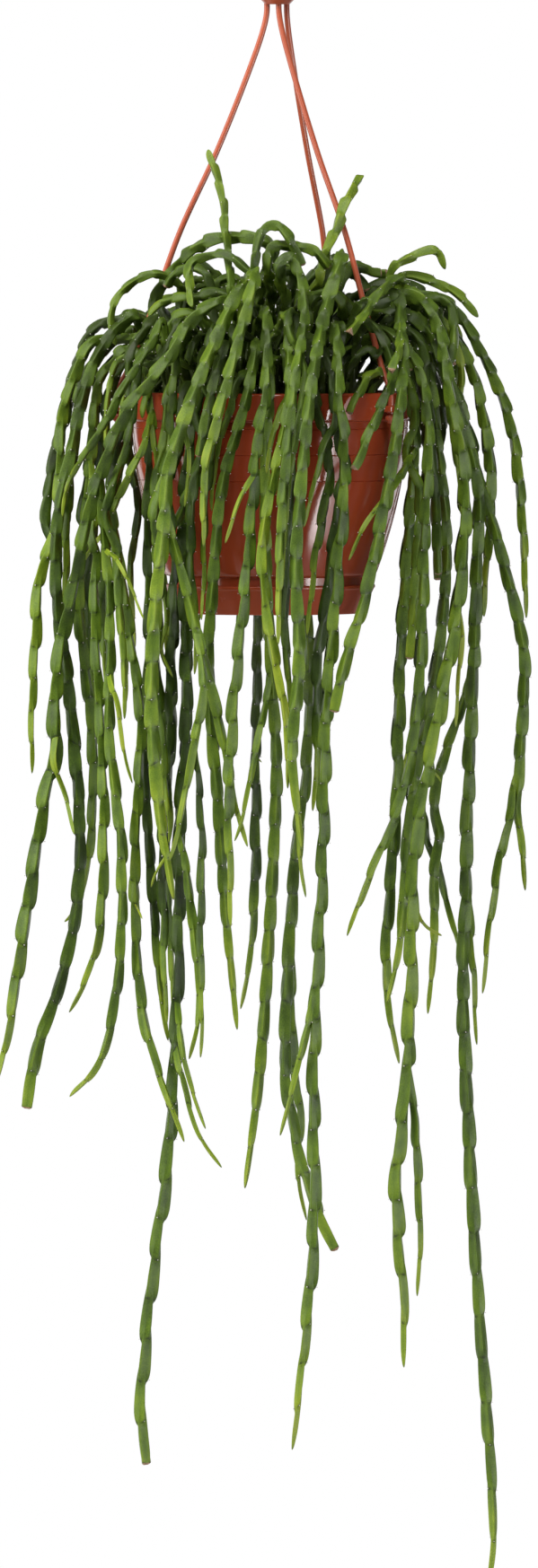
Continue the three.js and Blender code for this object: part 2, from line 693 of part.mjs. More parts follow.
// Centripetal curve through the points, then points at even steps along it.
function evenSteps(points) {
  const { step, curveSteps } = STEM;
  const curve = new THREE.CatmullRomCurve3(points);
  const dense = curve.getPoints(curveSteps * (points.length - 1));
  const line = [dense[0].clone()];
  let walked = 0;
  let next = step;
  for (let index = 1; index < dense.length; index += 1) {
    const span = dense[index].distanceTo(dense[index - 1]);
    while (walked + span >= next) {
      line.push(dense[index - 1].clone().lerp(dense[index], (next - walked) / span));
      next += step;
    }
    walked += span;
  }
  return line;
}

function nearestIndex(line, point) {
  let best = 0;
  line.forEach((place, index) => {
    if (place.distanceTo(point) < line[best].distanceTo(point)) {
      best = index;
    }
  });
  return best;
}

function linkLength(line) {
  const length = (line.length - 1) * STEM.step;
  return length / Math.max(Math.round(length / STEM.link), STEM.fewestLinks);
}

// Stems fork where a joint ends.
function nearestLinkEnd(line, index) {
  const link = linkLength(line);
  const joint = Math.max(Math.round((index * STEM.step) / link - STEM.fullAt), 0);
  return Math.round(((joint + STEM.fullAt) * link) / STEM.step);
}

// The far side's stems, as sprays of one stem each.
function farSprays() {
  const sprays = {};
  for (const { like, girth, level, keep } of FAR_SIDE) {
    const source = SPRAYS[like][0].route;
    const count = Math.round(source.length * keep);
    sprays[`far_${like}`] = [{ girth, level, route: source.slice(0, count) }];
  }
  return sprays;
}

// Every stem as a line of points, before the stems make room for each other.
function layOut(sprays) {
  const draw = seededDraw(SEED);
  const firsts = Object.values(sprays).map((members) => routePoints(members[0])[0]);
  const wishes = firsts.map(({ x, y }) => [x * STEM.rootPull, y * STEM.rootPull]);
  const roots = shareOut(rootPlaces(wishes.length), wishes);
  const stems = [];
  for (const [spray, members] of Object.entries(sprays)) {
    const start = stems.length;
    for (const member of members) {
      const route = routePoints(member);
      const stem = { ...member, spray, twist: 2 * Math.PI * draw(), parent: null, fork: 0 };
      if (member.from === undefined) {
        stem.root = roots.shift();
        stem.line = evenSteps([...climb(stem.root, route[0], draw), ...route]);
      } else {
        stem.parent = start + member.from;
        const parentLine = stems[stem.parent].line;
        stem.fork = nearestLinkEnd(parentLine, nearestIndex(parentLine, route[0]));
        route[0].copy(parentLine[stem.fork]);
        stem.line = evenSteps(route);
      }
      stems.push(stem);
    }
  }
  return stems;
}

// ---------------------------------------------------------------- making room
// The pot's and saucer's outline, [radius, height], that stems stay outside of.
function outline() {
  const drops = [0.25, 0.5, 0.75].map((share) => mix(POT.bandDrop, POT.waistDrop, share));
  return [
    [POT.shoulderRadius - POT.wall, -SOIL.edgeDrop],
    [POT.shoulderRadius - POT.wall, 0],
    [POT.rimRadius, 0],
    [POT.rimRadius, -POT.bandDrop],
    [POT.shoulderRadius, -POT.bandDrop],
    ...drops.map((drop) => [wallRadius(drop), -drop]),
    [POT.waistRadius, -POT.waistDrop],
    [SAUCER.rimRadius, -SAUCER.rimDrop],
    [SAUCER.baseRadius, -SAUCER.baseDrop],
    [0, -SAUCER.baseDrop],
  ];
}

function nearestOnOutline(profile, radius, height) {
  let best = null;
  for (let index = 1; index < profile.length; index += 1) {
    const [ar, az] = profile[index - 1];
    const [br, bz] = profile[index];
    const length = (br - ar) ** 2 + (bz - az) ** 2;
    const share = clamp01(((radius - ar) * (br - ar) + (height - az) * (bz - az)) / length);
    const r = ar + share * (br - ar);
    const z = az + share * (bz - az);
    const distance = Math.hypot(radius - r, height - z);
    if (best === null || distance < best.distance) {
      best = { r, z, distance };
    }
  }
  return best;
}

// Points that never move: along the strands, and at their ears and the hub.
function fixedPoints() {
  const fixed = [];
  for (const azimuth of Object.values(STRANDS)) {
    const curve = strandCurve(azimuth);
    const count = Math.round(curve.getLength() / STEM.step);
    for (let index = 0; index <= count; index += 1) {
      const place = curve.getPointAt(index / count);
      fixed.push({ place, girth: STRAND.radius });
    }
    for (const height of [EAR.top - EAR.thick / 2, EAR.top - 3 * EAR.thick]) {
      fixed.push({ place: strandPoint(azimuth, [1, height]), girth: EAR.width / 2 });
    }
  }
  return fixed;
}

// Pushes the stems apart, a little in every round, until none is nearer than the space
// that both need. A push spreads along its stem, so that the stem bends and has no kink.
function makeRoom(stems) {
  const points = [];
  stems.forEach((stem, owner) => {
    stem.first = points.length;
    stem.line.forEach((place, index) => {
      const held = stem.parent === null && index < SETTLE.heldPoints;
      const rank = Math.abs(stem.level) + owner / stems.length;
      const give = held ? [0, 0, 0] : giveOf(stem, index * STEM.step);
      const girth = girthAt(stem, index * STEM.step, (stem.line.length - 1) * STEM.step);
      points.push({ place, girth, owner, index, rank, give });
    });
  });
  const movable = points.length;
  for (const { place, girth } of fixedPoints()) {
    points.push({ place, girth, owner: -1, index: 0, rank: 0, give: [0, 0, 0] });
  }
  const profile = outline();
  let pairs = [];
  for (let round = 0; round < SETTLE.rounds; round += 1) {
    if (round % SETTLE.refresh === 0) {
      pairs = closePairs(points, stems);
    }
    const moves = points.map(() => new THREE.Vector3());
    const slide = SETTLE.slide * Math.max(1 - round / SETTLE.slideRounds, 0);
    for (const [one, two] of pairs) {
      pushApart(points[one], points[two], moves[one], moves[two], slide);
    }
    for (let index = 0; index < movable; index += 1) {
      clearOfPot(points[index], moves[index], profile);
      const [giveX, giveY, giveZ] = points[index].give;
      moves[index].set(
        moves[index].x * giveX,
        moves[index].y * giveY,
        moves[index].z * giveZ,
      );
      moves[index].clampLength(0, SETTLE.largestMove);
    }
    const easing = round < SETTLE.rounds - SETTLE.plainRounds ? SETTLE.easing : 1;
    for (let pass = 0; pass < easing; pass += 1) {
      easeMoves(stems, moves);
    }
    for (let index = 0; index < movable; index += 1) {
      points[index].place.add(moves[index]);
    }
  }
}

// A stem gives way freely near its root and on the far side, and mostly in depth elsewhere.
function giveOf(stem, distance) {
  const nearRoot = stem.parent === null && distance < SETTLE.freeLength;
  return nearRoot || stem.spray.startsWith("far_") ? SETTLE.free : SETTLE.traced;
}

function closePairs(points, stems) {
  const reach = 2 * SETTLE.refresh * SETTLE.largestMove;
  const cells = new Map();
  const keyOf = (x, y, z) => `${x},${y},${z}`;
  const cellOf = ({ x, y, z }) => [x, y, z].map((value) => Math.floor(value / SETTLE.cell));
  points.forEach((point, index) => {
    const key = keyOf(...cellOf(point.place));
    if (!cells.has(key)) {
      cells.set(key, []);
    }
    cells.get(key).push(index);
  });
  const pairs = [];
  points.forEach((point, one) => {
    const [cx, cy, cz] = cellOf(point.place);
    for (let x = cx - 1; x <= cx + 1; x += 1) {
      for (let y = cy - 1; y <= cy + 1; y += 1) {
        for (let z = cz - 1; z <= cz + 1; z += 1) {
          for (const two of cells.get(keyOf(x, y, z)) ?? []) {
            const need = point.girth + points[two].girth + SETTLE.space + reach;
            if (two > one && mayTouch(point, points[two], stems)
              && point.place.distanceTo(points[two].place) < need) {
              pairs.push([one, two]);
            }
          }
        }
      }
    }
  });
  return pairs;
}

// Points of one stem never push each other, nor do a stem and its parent near their fork.
function mayTouch(one, two, stems) {
  if (one.owner === two.owner) {
    return false;
  }
  return !nearFork(one, two, stems) && !nearFork(two, one, stems);
}

function nearFork(child, other, stems) {
  if (child.owner < 0 || other.owner < 0) {
    return false;
  }
  const stem = stems[child.owner];
  const siblings = stem.parent !== null && stems[other.owner].parent === stem.parent;
  const related = stem.parent === other.owner || siblings;
  return related && child.index * STEM.step < SETTLE.forkLength;
}

// The push goes straight apart and, for the stem that ranks higher, a little outward, so
// that two stems that cross slide past each other.
function pushApart(one, two, moveOne, moveTwo, slide) {
  const away = two.place.clone().sub(one.place);
  const distance = away.length();
  const missing = one.girth + two.girth + SETTLE.space - distance;
  if (missing > 0) {
    away.multiplyScalar((0.5 * missing) / Math.max(distance, MERGE));
    const outward = outwardAt(two.place);
    outward.multiplyScalar(missing * (two.rank > one.rank ? slide : -slide));
    moveOne.sub(away).sub(outward);
    moveTwo.add(away).add(outward);
  }
}

// Away from the middle of the peat above the rim, and from the pot's axis below it.
function outwardAt({ x, y, z }) {
  return new THREE.Vector3(x, y, Math.max(z + SETTLE.slideCentre, 0)).normalize();
}

// A point at the rim goes up over it, one in the peat goes up out of it, and one beside the
// pot goes straight away from it.
function clearOfPot({ place, girth, index }, move, profile) {
  const radius = Math.hypot(place.x, place.y);
  const lowest = -SAUCER.baseDrop - SETTLE.potBelow;
  if (radius > SETTLE.potReach || place.z > SETTLE.potAbove || place.z < lowest) {
    return;
  }
  const clear = girth + SETTLE.potSpace;
  const wallInside = POT.shoulderRadius - POT.wall - SETTLE.wallMargin;
  const inWall = radius > wallInside && radius < POT.rimRadius + POT.edge;
  if (inWall && place.z > -POT.bandDrop && place.z < clear) {
    move.z += clear - place.z;
    return;
  }
  const ground = soilHeight(radius) + girth + SETTLE.soilSpace;
  const overSoil = radius < POT.shoulderRadius && place.z > -SOIL.edgeDrop;
  if (overSoil && place.z < ground && index >= SETTLE.heldPoints) {
    move.z += ground - place.z;
  }
  const near = nearestOnOutline(profile, radius, place.z);
  const missing = clear - near.distance;
  if (missing > 0 && near.distance > 0) {
    const across = ((radius - near.r) / near.distance) * missing;
    move.x += (place.x / radius) * across;
    move.y += (place.y / radius) * across;
    move.z += ((place.z - near.z) / near.distance) * missing;
  }
}

// Evens out the moves along each stem, and moves a fork as its parent moves there.
function easeMoves(stems, moves) {
  for (const { first, line, parent, fork } of stems) {
    const last = first + line.length - 1;
    if (parent !== null) {
      moves[first].copy(moves[stems[parent].first + fork]);
    }
    const held = parent === null ? 1 : 0;
    let before = moves[first + held].clone();
    for (let index = first + held + 1; index <= last; index += 1) {
      const here = moves[index].clone();
      const after = index < last ? moves[index + 1] : here;
      moves[index].multiplyScalar(0.5).addScaledVector(before, 0.25).addScaledVector(after, 0.25);
      before = here;
    }
  }
}

// ---------------------------------------------------------------- the stems' bodies
// Turns every route into places with a direction and a steady sideways direction.
function framesAlong(line, twist) {
  const frames = [];
  let side = new THREE.Vector3(Math.cos(twist), Math.sin(twist), 0);
  line.forEach((place, index) => {
    const before = line[Math.max(index - 1, 0)];
    const after = line[Math.min(index + 1, line.length - 1)];
    const along = after.clone().sub(before).normalize();
    side = side.clone().addScaledVector(along, -side.dot(along)).normalize();
    frames.push({ place, along, side });
  });
  return frames;
}

function frameAt(frames, distance) {
  const index = Math.min(Math.floor(distance / STEM.step), frames.length - 2);
  const share = distance / STEM.step - index;
  const one = frames[index];
  const two = frames[index + 1];
  const along = one.along.clone().lerp(two.along, share).normalize();
  const side = one.side.clone().lerp(two.side, share);
  side.addScaledVector(along, -side.dot(along)).normalize();
  return { place: one.place.clone().lerp(two.place, share), along, side };
}

function girthAt(stem, distance, length) {
  const end = stem.tip === undefined ? STEM.tipShare : STEM.endShare;
  const thin = mix(end, 1, smooth((length - distance) / STEM.taper) ** STEM.taperPower);
  const start = mix(STEM.baseShare, 1, smooth(distance / STEM.baseLength));
  return stem.girth * Math.min(thin, start);
}

// Rings of three corners, one at each rib: low where a link starts, high where it ends,
// and turned by a sixth of a turn in the next link.
function linkRings(stem) {
  const frames = framesAlong(stem.line, stem.twist);
  const length = (frames.length - 1) * STEM.step;
  const link = linkLength(stem.line);
  const rings = [];
  for (let index = 0; index < Math.round(length / link); index += 1) {
    const turn = (index * Math.PI) / 3;
    const low = frameAt(frames, (index + STEM.riseAt) * link);
    const high = frameAt(frames, (index + STEM.fullAt) * link);
    const shares = [[STEM.riseAt, STEM.narrow], [STEM.fullAt, 1]];
    if (low.along.angleTo(high.along) > STEM.bendLimit) {
      shares.splice(1, 0, [(STEM.riseAt + STEM.fullAt) / 2, (STEM.narrow + 1) / 2]);
    }
    for (const [share, height] of shares) {
      const distance = (index + share) * link;
      const radius = girthAt(stem, distance, length) * height;
      rings.push({ ...frameAt(frames, distance), turn, radius });
    }
  }
  const last = rings.at(-1);
  if (stem.tip === undefined) {
    const end = frameAt(frames, length);
    rings.push({ ...end, turn: last.turn, radius: STEM.point * last.radius });
  }
  return rings;
}

function ringCorners({ place, along, side, turn, radius }) {
  const other = along.clone().cross(side);
  return [0, 1, 2].map((corner) => {
    const angle = turn + (corner * 2 * Math.PI) / 3;
    return place.clone()
      .addScaledVector(side, radius * Math.cos(angle))
      .addScaledVector(other, radius * Math.sin(angle));
  });
}

function chainGeometry(rings) {
  const corners = rings.flatMap(ringCorners);
  const faces = [[0, 2, 1]];
  for (let ring = 1; ring < rings.length; ring += 1) {
    const low = 3 * (ring - 1);
    const high = 3 * ring;
    const nextLink = rings[ring].turn !== rings[ring - 1].turn;
    for (let corner = 0; corner < 3; corner += 1) {
      const next = (corner + 1) % 3;
      if (nextLink) {
        faces.push([low + corner, low + next, high + corner]);
        faces.push([low + next, high + next, high + corner]);
      } else {
        faces.push([low + corner, low + next, high + next]);
        faces.push([low + corner, high + next, high + corner]);
      }
    }
  }
  const top = 3 * (rings.length - 1);
  faces.push([top, top + 1, top + 2]);
  const geometry = new THREE.BufferGeometry();
  geometry.setFromPoints(corners);
  geometry.setIndex(faces.flat());
  return geometry;
}

// The straight three-sided column that stands in the peat.
function columnGeometry([x, y], radius, from, to) {
  const frame = { along: new THREE.Vector3(0, 0, 1), side: new THREE.Vector3(1, 0, 0) };
  const rings = [from, to].map((height) => (
    { ...frame, place: new THREE.Vector3(x, y, height), turn: 0, radius }
  ));
  return chainGeometry(rings);
}

function makeSpray(members) {
  let body = null;
  for (const stem of members) {
    let solid = toSolid(chainGeometry(linkRings(stem)));
    if (stem.parent === null) {
      const top = stem.line[0].z + STEM.rootRise;
      const column = columnGeometry(stem.root, STEM.rootRadius, -STEM.sunkDrop, top);
      solid = solid.add(toSolid(column));
    }
    body = body === null ? solid : body.add(solid);
  }
  return toGeometry(body);
}

// ---------------------------------------------------------------- assembly
const plastic = { color: 0x9c4530, roughness: 0.28, metalness: 0 };
const strandPlastic = { color: 0xa5564a, roughness: 0.35, metalness: 0 };
const peat = { color: 0x2b1f17, roughness: 1, metalness: 0 };
const skin = { color: 0x55793a, roughness: 0.45, metalness: 0 };

const rimFrame = new THREE.Group();
rimFrame.position.set(-HUB.offset, 0, -HOOK.hangingPoint);

function addPiece(name, geometry, finish) {
  const piece = new THREE.Mesh(geometry, new THREE.MeshStandardMaterial(finish));
  piece.name = name;
  rimFrame.add(piece);
}

const stems = layOut({ ...SPRAYS, ...farSprays() });
makeRoom(stems);

addPiece("pot", makePot(), plastic);
addPiece("saucer", makeSaucer(), plastic);
addPiece("soil", makeSoil(stems.filter(({ root }) => root).map(({ root }) => root)), peat);
addPiece("hook_and_hub", makeHub(), strandPlastic);
for (const [name, azimuth] of Object.entries(STRANDS)) {
  addPiece(`strand_${name}`, makeStrand(azimuth), strandPlastic);
}
for (const spray of new Set(stems.map((stem) => stem.spray))) {
  addPiece(`stem_${spray}`, makeSpray(stems.filter((stem) => stem.spray === spray)), skin);
}

const plant = new THREE.Group();
plant.add(rimFrame);

export default plant;
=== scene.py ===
"""The looks of a mistletoe cactus in its hanging pot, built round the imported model.

Lengths are millimetres in the pot's own frame, from the centre of the rim's top plane and
heights up from it, until a mesh is made: to_world turns them into metres of the model.
"""

import json
import math
from types import SimpleNamespace

import bmesh
import bpy
import numpy as np
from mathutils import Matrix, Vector, noise

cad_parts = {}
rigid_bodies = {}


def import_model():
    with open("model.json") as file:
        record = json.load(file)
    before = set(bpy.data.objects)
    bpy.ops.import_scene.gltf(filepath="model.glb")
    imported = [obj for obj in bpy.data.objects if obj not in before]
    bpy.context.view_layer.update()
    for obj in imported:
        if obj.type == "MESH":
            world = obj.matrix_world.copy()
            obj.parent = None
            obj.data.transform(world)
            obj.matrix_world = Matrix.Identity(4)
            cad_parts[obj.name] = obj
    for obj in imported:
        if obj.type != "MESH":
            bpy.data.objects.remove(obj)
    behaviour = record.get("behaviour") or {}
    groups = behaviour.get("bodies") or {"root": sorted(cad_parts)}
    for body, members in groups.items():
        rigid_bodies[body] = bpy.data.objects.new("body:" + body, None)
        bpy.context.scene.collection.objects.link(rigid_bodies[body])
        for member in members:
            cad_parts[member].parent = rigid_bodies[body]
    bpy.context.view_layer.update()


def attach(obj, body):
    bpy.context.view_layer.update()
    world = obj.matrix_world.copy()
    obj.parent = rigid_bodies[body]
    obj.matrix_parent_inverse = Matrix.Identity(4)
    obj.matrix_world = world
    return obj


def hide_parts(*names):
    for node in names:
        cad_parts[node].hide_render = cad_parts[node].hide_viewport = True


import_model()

# ---------------------------------------------------------------- dimensions of the solids
POT = SimpleNamespace(
    rim_radius=90, edge=1, band_drop=17, step=0.8, shoulder_radius=86, waist_radius=66,
    waist_drop=114, bulge=1.8, neck_radius=60, neck_drop=120, foot_radius=55.5, foot_drop=135.7,
    wall=2, stud_hole=4.6,
)
SAUCER = SimpleNamespace(
    rim_radius=65.5, rim_drop=120, base_radius=57.5, base_drop=138, wall=1.6, floor=2,
    lip_height=1.8, lip_depth=0.8,
)
STUD = SimpleNamespace(radius=4, head_radius=6.5, head_height=2.5)
SOIL = SimpleNamespace(crown_drop=5, edge_drop=13)
EAR = SimpleNamespace(inner=88.4, outer=99.5, width=12, top=-8, thick=4, ring=95, hole_radius=2.4)
STRANDS = {"left": 180, "front": -38, "back": 61}  # degrees round the pot
STRAND = SimpleNamespace(radius=1.8, knob_radius=3.4)
HUB = SimpleNamespace(
    offset=4.75, base=241, height=12, radius=11, chamfer=3.5, top_chamfer=2.5, neck_radius=4,
    neck_height=3, socket_depth=6,
)
HOOK = SimpleNamespace(
    wire=2.6, bend=13, hanging_point=295, rise=[(0, -2.1), (0.24, -1.35)],
    turn=[-42, 0, 45, 90, 135, 180, 206], ball_radius=3.6,
)
# A strand's way down: its share of the way out to the ear, and its height.
STRAND_LINE = [
    (0.067, HUB.base + HUB.socket_depth - 1), (0.067, HUB.base - HUB.socket_depth + 1),
    (0.09, HUB.base - 16), (0.18, HUB.base - 42), (0.38, HUB.base - 92), (0.61, HUB.base - 142),
    (0.79, HUB.base - 192), (0.93, 14), (1, 0), (1, EAR.top - EAR.thick - 2),
]
STEM = SimpleNamespace(
    link=26, full_at=0.92, fewest_links=2, taper=95, taper_power=0.8, tip_share=0.4,
    end_share=0.8, base_share=0.74, base_length=75, root_field=68, root_pull=0.6, step=5.5,
    curve_steps=14,
)
SHELL = SimpleNamespace(
    first=99, spacing=11, least=10, least_spacing=8, arch_top=95, arch_height=110, arch_share=0.55,
)
CLIMB = SimpleNamespace(
    foot=0.5, upright=9, lean=0.3, lift=0.66, low_start=25, crest=82, crest_height=26,
)
SETTLE = SimpleNamespace(
    rounds=260, space=0.9, largest_move=0.45, easing=3, plain_rounds=50, refresh=8, slide=0.8,
    slide_rounds=160, slide_centre=40, free_length=80, free=(0.9, 1, 0.9), traced=(0.4, 1, 0.4),
    held_points=2, fork_length=30, pot_space=1.2, soil_space=1.5, wall_margin=3, pot_reach=112,
    pot_above=40, pot_below=20, relax_rounds=30,
    sharp_bend=0.3,  # one less the cosine of a bend that is eased in full
    gentle_share=0.15,
)
ROOM = SimpleNamespace(places=420, field=76, apart=7.8)
MERGE = 1e-4
SEED = 20


# ---------------------------------------------------------------- the stems' routes
def shoot(girth, tone, level, route, **more):
    """One stem, its route's places as mm right of the pot's axis and mm below the rim. A level
    above 0 is on the near side and one below 0 on the far side, the larger the further out."""
    places = [tuple(map(float, place.split(","))) for place in route.split()]
    return dict(girth=girth, tone=tone, level=level, route=places, **more)


# The stems that the solids have. grows_from is the number, in its spray, of a stem's carrier.
SPRAYS = {
    "crown_upright_left": [
        shoot(3.4, "bright", 2, "-24,-64 -27,-96 -30,-124 -39,-153"),
    ],
    "crown_upright_right": [
        shoot(3.8, "bright", 2, "35,-76 38,-89 43,-107 49,-122 58,-136", tip="blunt"),
    ],
    "left_inner": [
        shoot(4.6, "mid", 1, "0,-92 -18,-97 -38,-94 -61,-75 -75,-52 -77,-24 -74,6 -70,44 -67,69"),
        shoot(3.8, "bright", 3, "-74,6 -79,34 -89,54 -100,76 -117,107", grows_from=0),
        shoot(4.4, "mid", 2, "-94,64 -95,92 -87,150 -80,201 -81,233 -84,305 -79,383 -71,414 "
              "-52,466", grows_from=1),
        shoot(4.4, "dark", 1, "-72,25 -76,66 -75,136 -77,203 -82,249", grows_from=0),
        shoot(4.2, "dark", 1, "-77,203 -77,243 -73,305 -68,369 -63,402", grows_from=3),
    ],
    "crown_arc_outer_left": [
        shoot(3.8, "mid", 2, "-68,-73 -84,-69 -95,-58 -101,-40 -99,-31"),
    ],
    "crown_arc_low": [
        shoot(4.2, "mid", 4, "0,-82 1,-92 14,-93 27,-89 38,-78", tip="blunt"),
    ],
    "left_outer": [
        shoot(4.8, "bright", 2, "-77,-32 -93,-33 -112,-29 -122,-8 -129,13 -131,50 -134,86 -143,114 "
              "-146,159 -148,198 -148,238"),
    ],
    "left_long": [
        shoot(5.6, "mid", 4, "-25,-60 -48,-46 -63,-22 -89,11 -101,39 -110,66 -118,103 -128,151 -136,222 "
              "-143,270 -155,348 -162,395 -171,435"),
        shoot(3.6, "bright", 4, "-133,201 -131,235 -125,258 -121,276", grows_from=0),
        shoot(4.4, "mid", 3, "-106,53 -102,92 -99,216 -92,281 -94,362 -105,414 -125,439", grows_from=0),
        shoot(2.8, "bright", 4, "-102,92 -93,105 -87,117 -77,141", grows_from=2),
        shoot(3.2, "yellow", 4, "-100,162 -94,195 -89,228 -84,244", grows_from=2),
    ],
    "left_deep": [
        shoot(5.2, "dark", 3, "-104,-24 -114,-3 -123,36 -132,86 -132,136 -122,216 -118,287 -122,333 "
              "-134,379 -145,409 -151,447", tip="blunt"),
    ],
    "left_middle": [
        shoot(4.8, "mid", 2, "-89,-26 -105,-10 -110,24 -114,80 -119,125 -110,222 -113,291 -121,322 "
              "-131,333"),
        shoot(4.4, "mid", 3, "-109,40 -108,92 -105,206 -103,259 -106,336 -114,364 -127,390", grows_from=0),
    ],
    "left_shaded": [
        shoot(3.9, "dark", -1, "-70,-20 -84,2 -89,31 -82,74 -87,109 -84,163"),
    ],
    "long_dark": [
        shoot(5.2, "dark", 1, "-41,-20 -49,25 -53,69 -53,114 -52,206 -56,270 -57,362 -63,472 -74,558 "
              "-80,634 -77,668", tip="blunt"),
        shoot(4, "mid", 3, "-55,273 -51,299 -44,383 -51,413", grows_from=0),
        shoot(3.4, "mid", 3, "-58,382 -55,399 -49,427 -38,459", grows_from=0),
        shoot(3.4, "mid", 2, "-58,405 -55,421 -43,460 -28,481", grows_from=0),
    ],
    "front_thick": [
        shoot(5.8, "light", 4, "-18,-63 -35,-30 -52,13 -63,49 -65,77 -71,136 -73,195 -68,259 -59,315"),
        shoot(3.2, "mid", 3, "-53,15 -50,36 -51,55 -53,73", grows_from=0),
        shoot(4.6, "mid", 3, "-64,72 -52,120 -43,155 -27,222 -22,254 -13,282", grows_from=0),
        shoot(4.2, "bright", 4, "-44,152 -41,179 -48,222 -57,270 -63,292", grows_from=2),
        shoot(3.6, "dark", 3, "-47,217 -43,254 -42,283 -43,326 -42,387 -43,411", grows_from=3),
    ],
    "front_bright": [
        shoot(5, "bright", 4, "-10,-74 -22,-24 -35,24 -40,45 -41,95"),
        shoot(4.2, "mid", 3, "-11,-75 -25,-84 -39,-85 -49,-80 -49,-59 -47,-50", grows_from=0),
        shoot(4.4, "mid", 4, "-5,-76 -4,-101 3,-104 16,-87 22,-76", tip="blunt", grows_from=0),
    ],
    "front_short": [
        shoot(4.2, "dark", 2, "-27,-31 -31,-19 -38,6 -45,43", tip="blunt"),
    ],
    "front_middle": [
        shoot(5, "mid", 3, "-3,-51 -3,2 -8,29 -12,91 -17,136 -24,211 -25,265 -24,332"),
        shoot(3.4, "mid", 4, "-9,41 -18,63 -29,96", grows_from=0),
    ],
    "front_slim": [
        shoot(4.8, "mid", 2, "-8,-29 -15,5 -29,55 -35,114 -38,174 -32,254 -28,312 -20,395"),
    ],
    "centre_shaded": [
        shoot(4.4, "dark", -1, "-6,-20 -9,36 -10,92 -8,148 -9,233 -9,297 -12,354 -19,392"),
    ],
    "front_yellow": [
        shoot(4.4, "yellow", 3, "12,-23 11,8 1,58 -5,92 -1,140 10,202 11,247"),
    ],
    "front_arched": [
        shoot(4.6, "mid", 4, "5,-79 14,-82 21,-56 15,0 10,46 6,107 5,156"),
    ],
    "front_right": [
        shoot(5.4, "mid", 4, "43,-83 34,-50 25,-6 20,41 16,101 18,162 14,225 20,282"),
    ],
    "front_dark": [
        shoot(4.4, "dark", 1, "53,-51 36,-28 27,-6 37,43 28,101 23,151"),
    ],
    "centre_inner": [
        shoot(5, "mid", 1, "0,-9 -3,47 -2,114 1,176 4,230 0,326 -7,426 -16,496"),
        shoot(3.6, "mid", 3, "1,181 -8,216 -18,265 -22,276", grows_from=0),
    ],
    "centre_deep": [
        shoot(5, "mid", -1, "28,-20 29,47 24,114 25,192 22,248 17,283 10,397 10,433 20,485 32,521 "
              "44,545", tip="blunt"),
        shoot(3.8, "mid", -2, "13,349 15,419 19,458 18,499 24,527", grows_from=0),
    ],
    "centre_long": [
        shoot(5.2, "mid", 3, "41,-40 43,8 47,35 43,101 35,197 32,302 27,405 27,518 20,600 13,658"),
        shoot(3.8, "mid", 3, "28,377 20,405 6,459", grows_from=0),
    ],
    "right_inner": [
        shoot(5.2, "mid", 4, "70,-59 78,-61 81,-39 81,0 74,51 59,124 46,167 39,199", tip="blunt"),
        shoot(4.8, "bright", 4, "81,-42 80,-29 77,-19 74,-11", tip="cut", grows_from=0),
    ],
    "right_short": [
        shoot(4.6, "dark", 3, "78,-17 70,5 55,37 49,47", tip="blunt"),
    ],
    "right_second": [
        shoot(4.8, "mid", 1, "82,-20 90,27 89,51 82,151 78,263 72,348 74,383 81,421"),
        shoot(4, "mid", 3, "89,39 76,58 60,79 47,103", grows_from=0),
    ],
    "right_third": [
        shoot(4.8, "mid", 3, "90,-20 98,18 96,85 91,202 80,254 60,302 47,337"),
    ],
    "right_fourth": [
        shoot(4.6, "mid", 2, "95,-26 104,30 110,96 104,169 89,247 80,344 72,380"),
        shoot(3.8, "dark", 2, "90,238 98,268 111,322 123,362", grows_from=0),
    ],
    "right_thick": [
        shoot(5.6, "light", 4, "81,-62 100,-50 112,2 121,57 117,129 105,197 90,280 87,369 84,435 78,487 "
              "83,569 83,604"),
        shoot(4.6, "mid", 3, "70,-69 82,-72 100,-69 115,-62 127,-50 132,-42", grows_from=0),
        shoot(4.4, "mid", 4, "72,-69 65,-58 58,-48 48,-37", tip="cut", grows_from=1),
        shoot(4.2, "mid", 4, "69,-70 82,-80 99,-88 105,-87 110,-72", grows_from=0),
        shoot(4, "mid", 4, "84,430 89,447 93,527 91,562", grows_from=0),
        shoot(3.2, "yellow", 4, "117,122 119,148 117,175 115,208", grows_from=0),
        shoot(3.2, "yellow", 4, "89,304 95,328 108,337", grows_from=0),
        shoot(4.2, "bright", 2, "84,-62 95,-54 113,-34 120,-8 119,11", grows_from=0),
    ],
    "longest": [
        shoot(5.4, "mid", 3, "72,-56 95,-40 114,2 128,57 128,129 124,230 120,362 123,447 129,555 138,680 "
              "139,717 136,743"),
        shoot(4.4, "mid", 2, "126,167 119,197 103,247 102,340 98,386", grows_from=0),
        shoot(3.8, "mid", 2, "122,285 125,340 129,409", grows_from=0),
    ],
    "right_fifth": [
        shoot(4.8, "mid", 1, "78,-62 99,-50 122,-22 134,22 138,64 134,118 133,143"),
    ],
    "right_outer": [
        shoot(5, "mid", 2, "86,-42 100,-23 114,2 131,58 145,105 158,162 158,186 155,243 159,313"),
        shoot(4.2, "mid", 2, "155,241 148,263 137,329 132,376", grows_from=0),
    ],
    "right_outermost": [
        shoot(5, "mid", -2, "67,-59 81,-62 110,-55 134,-20 150,21 157,74 160,146"),
    ],
}

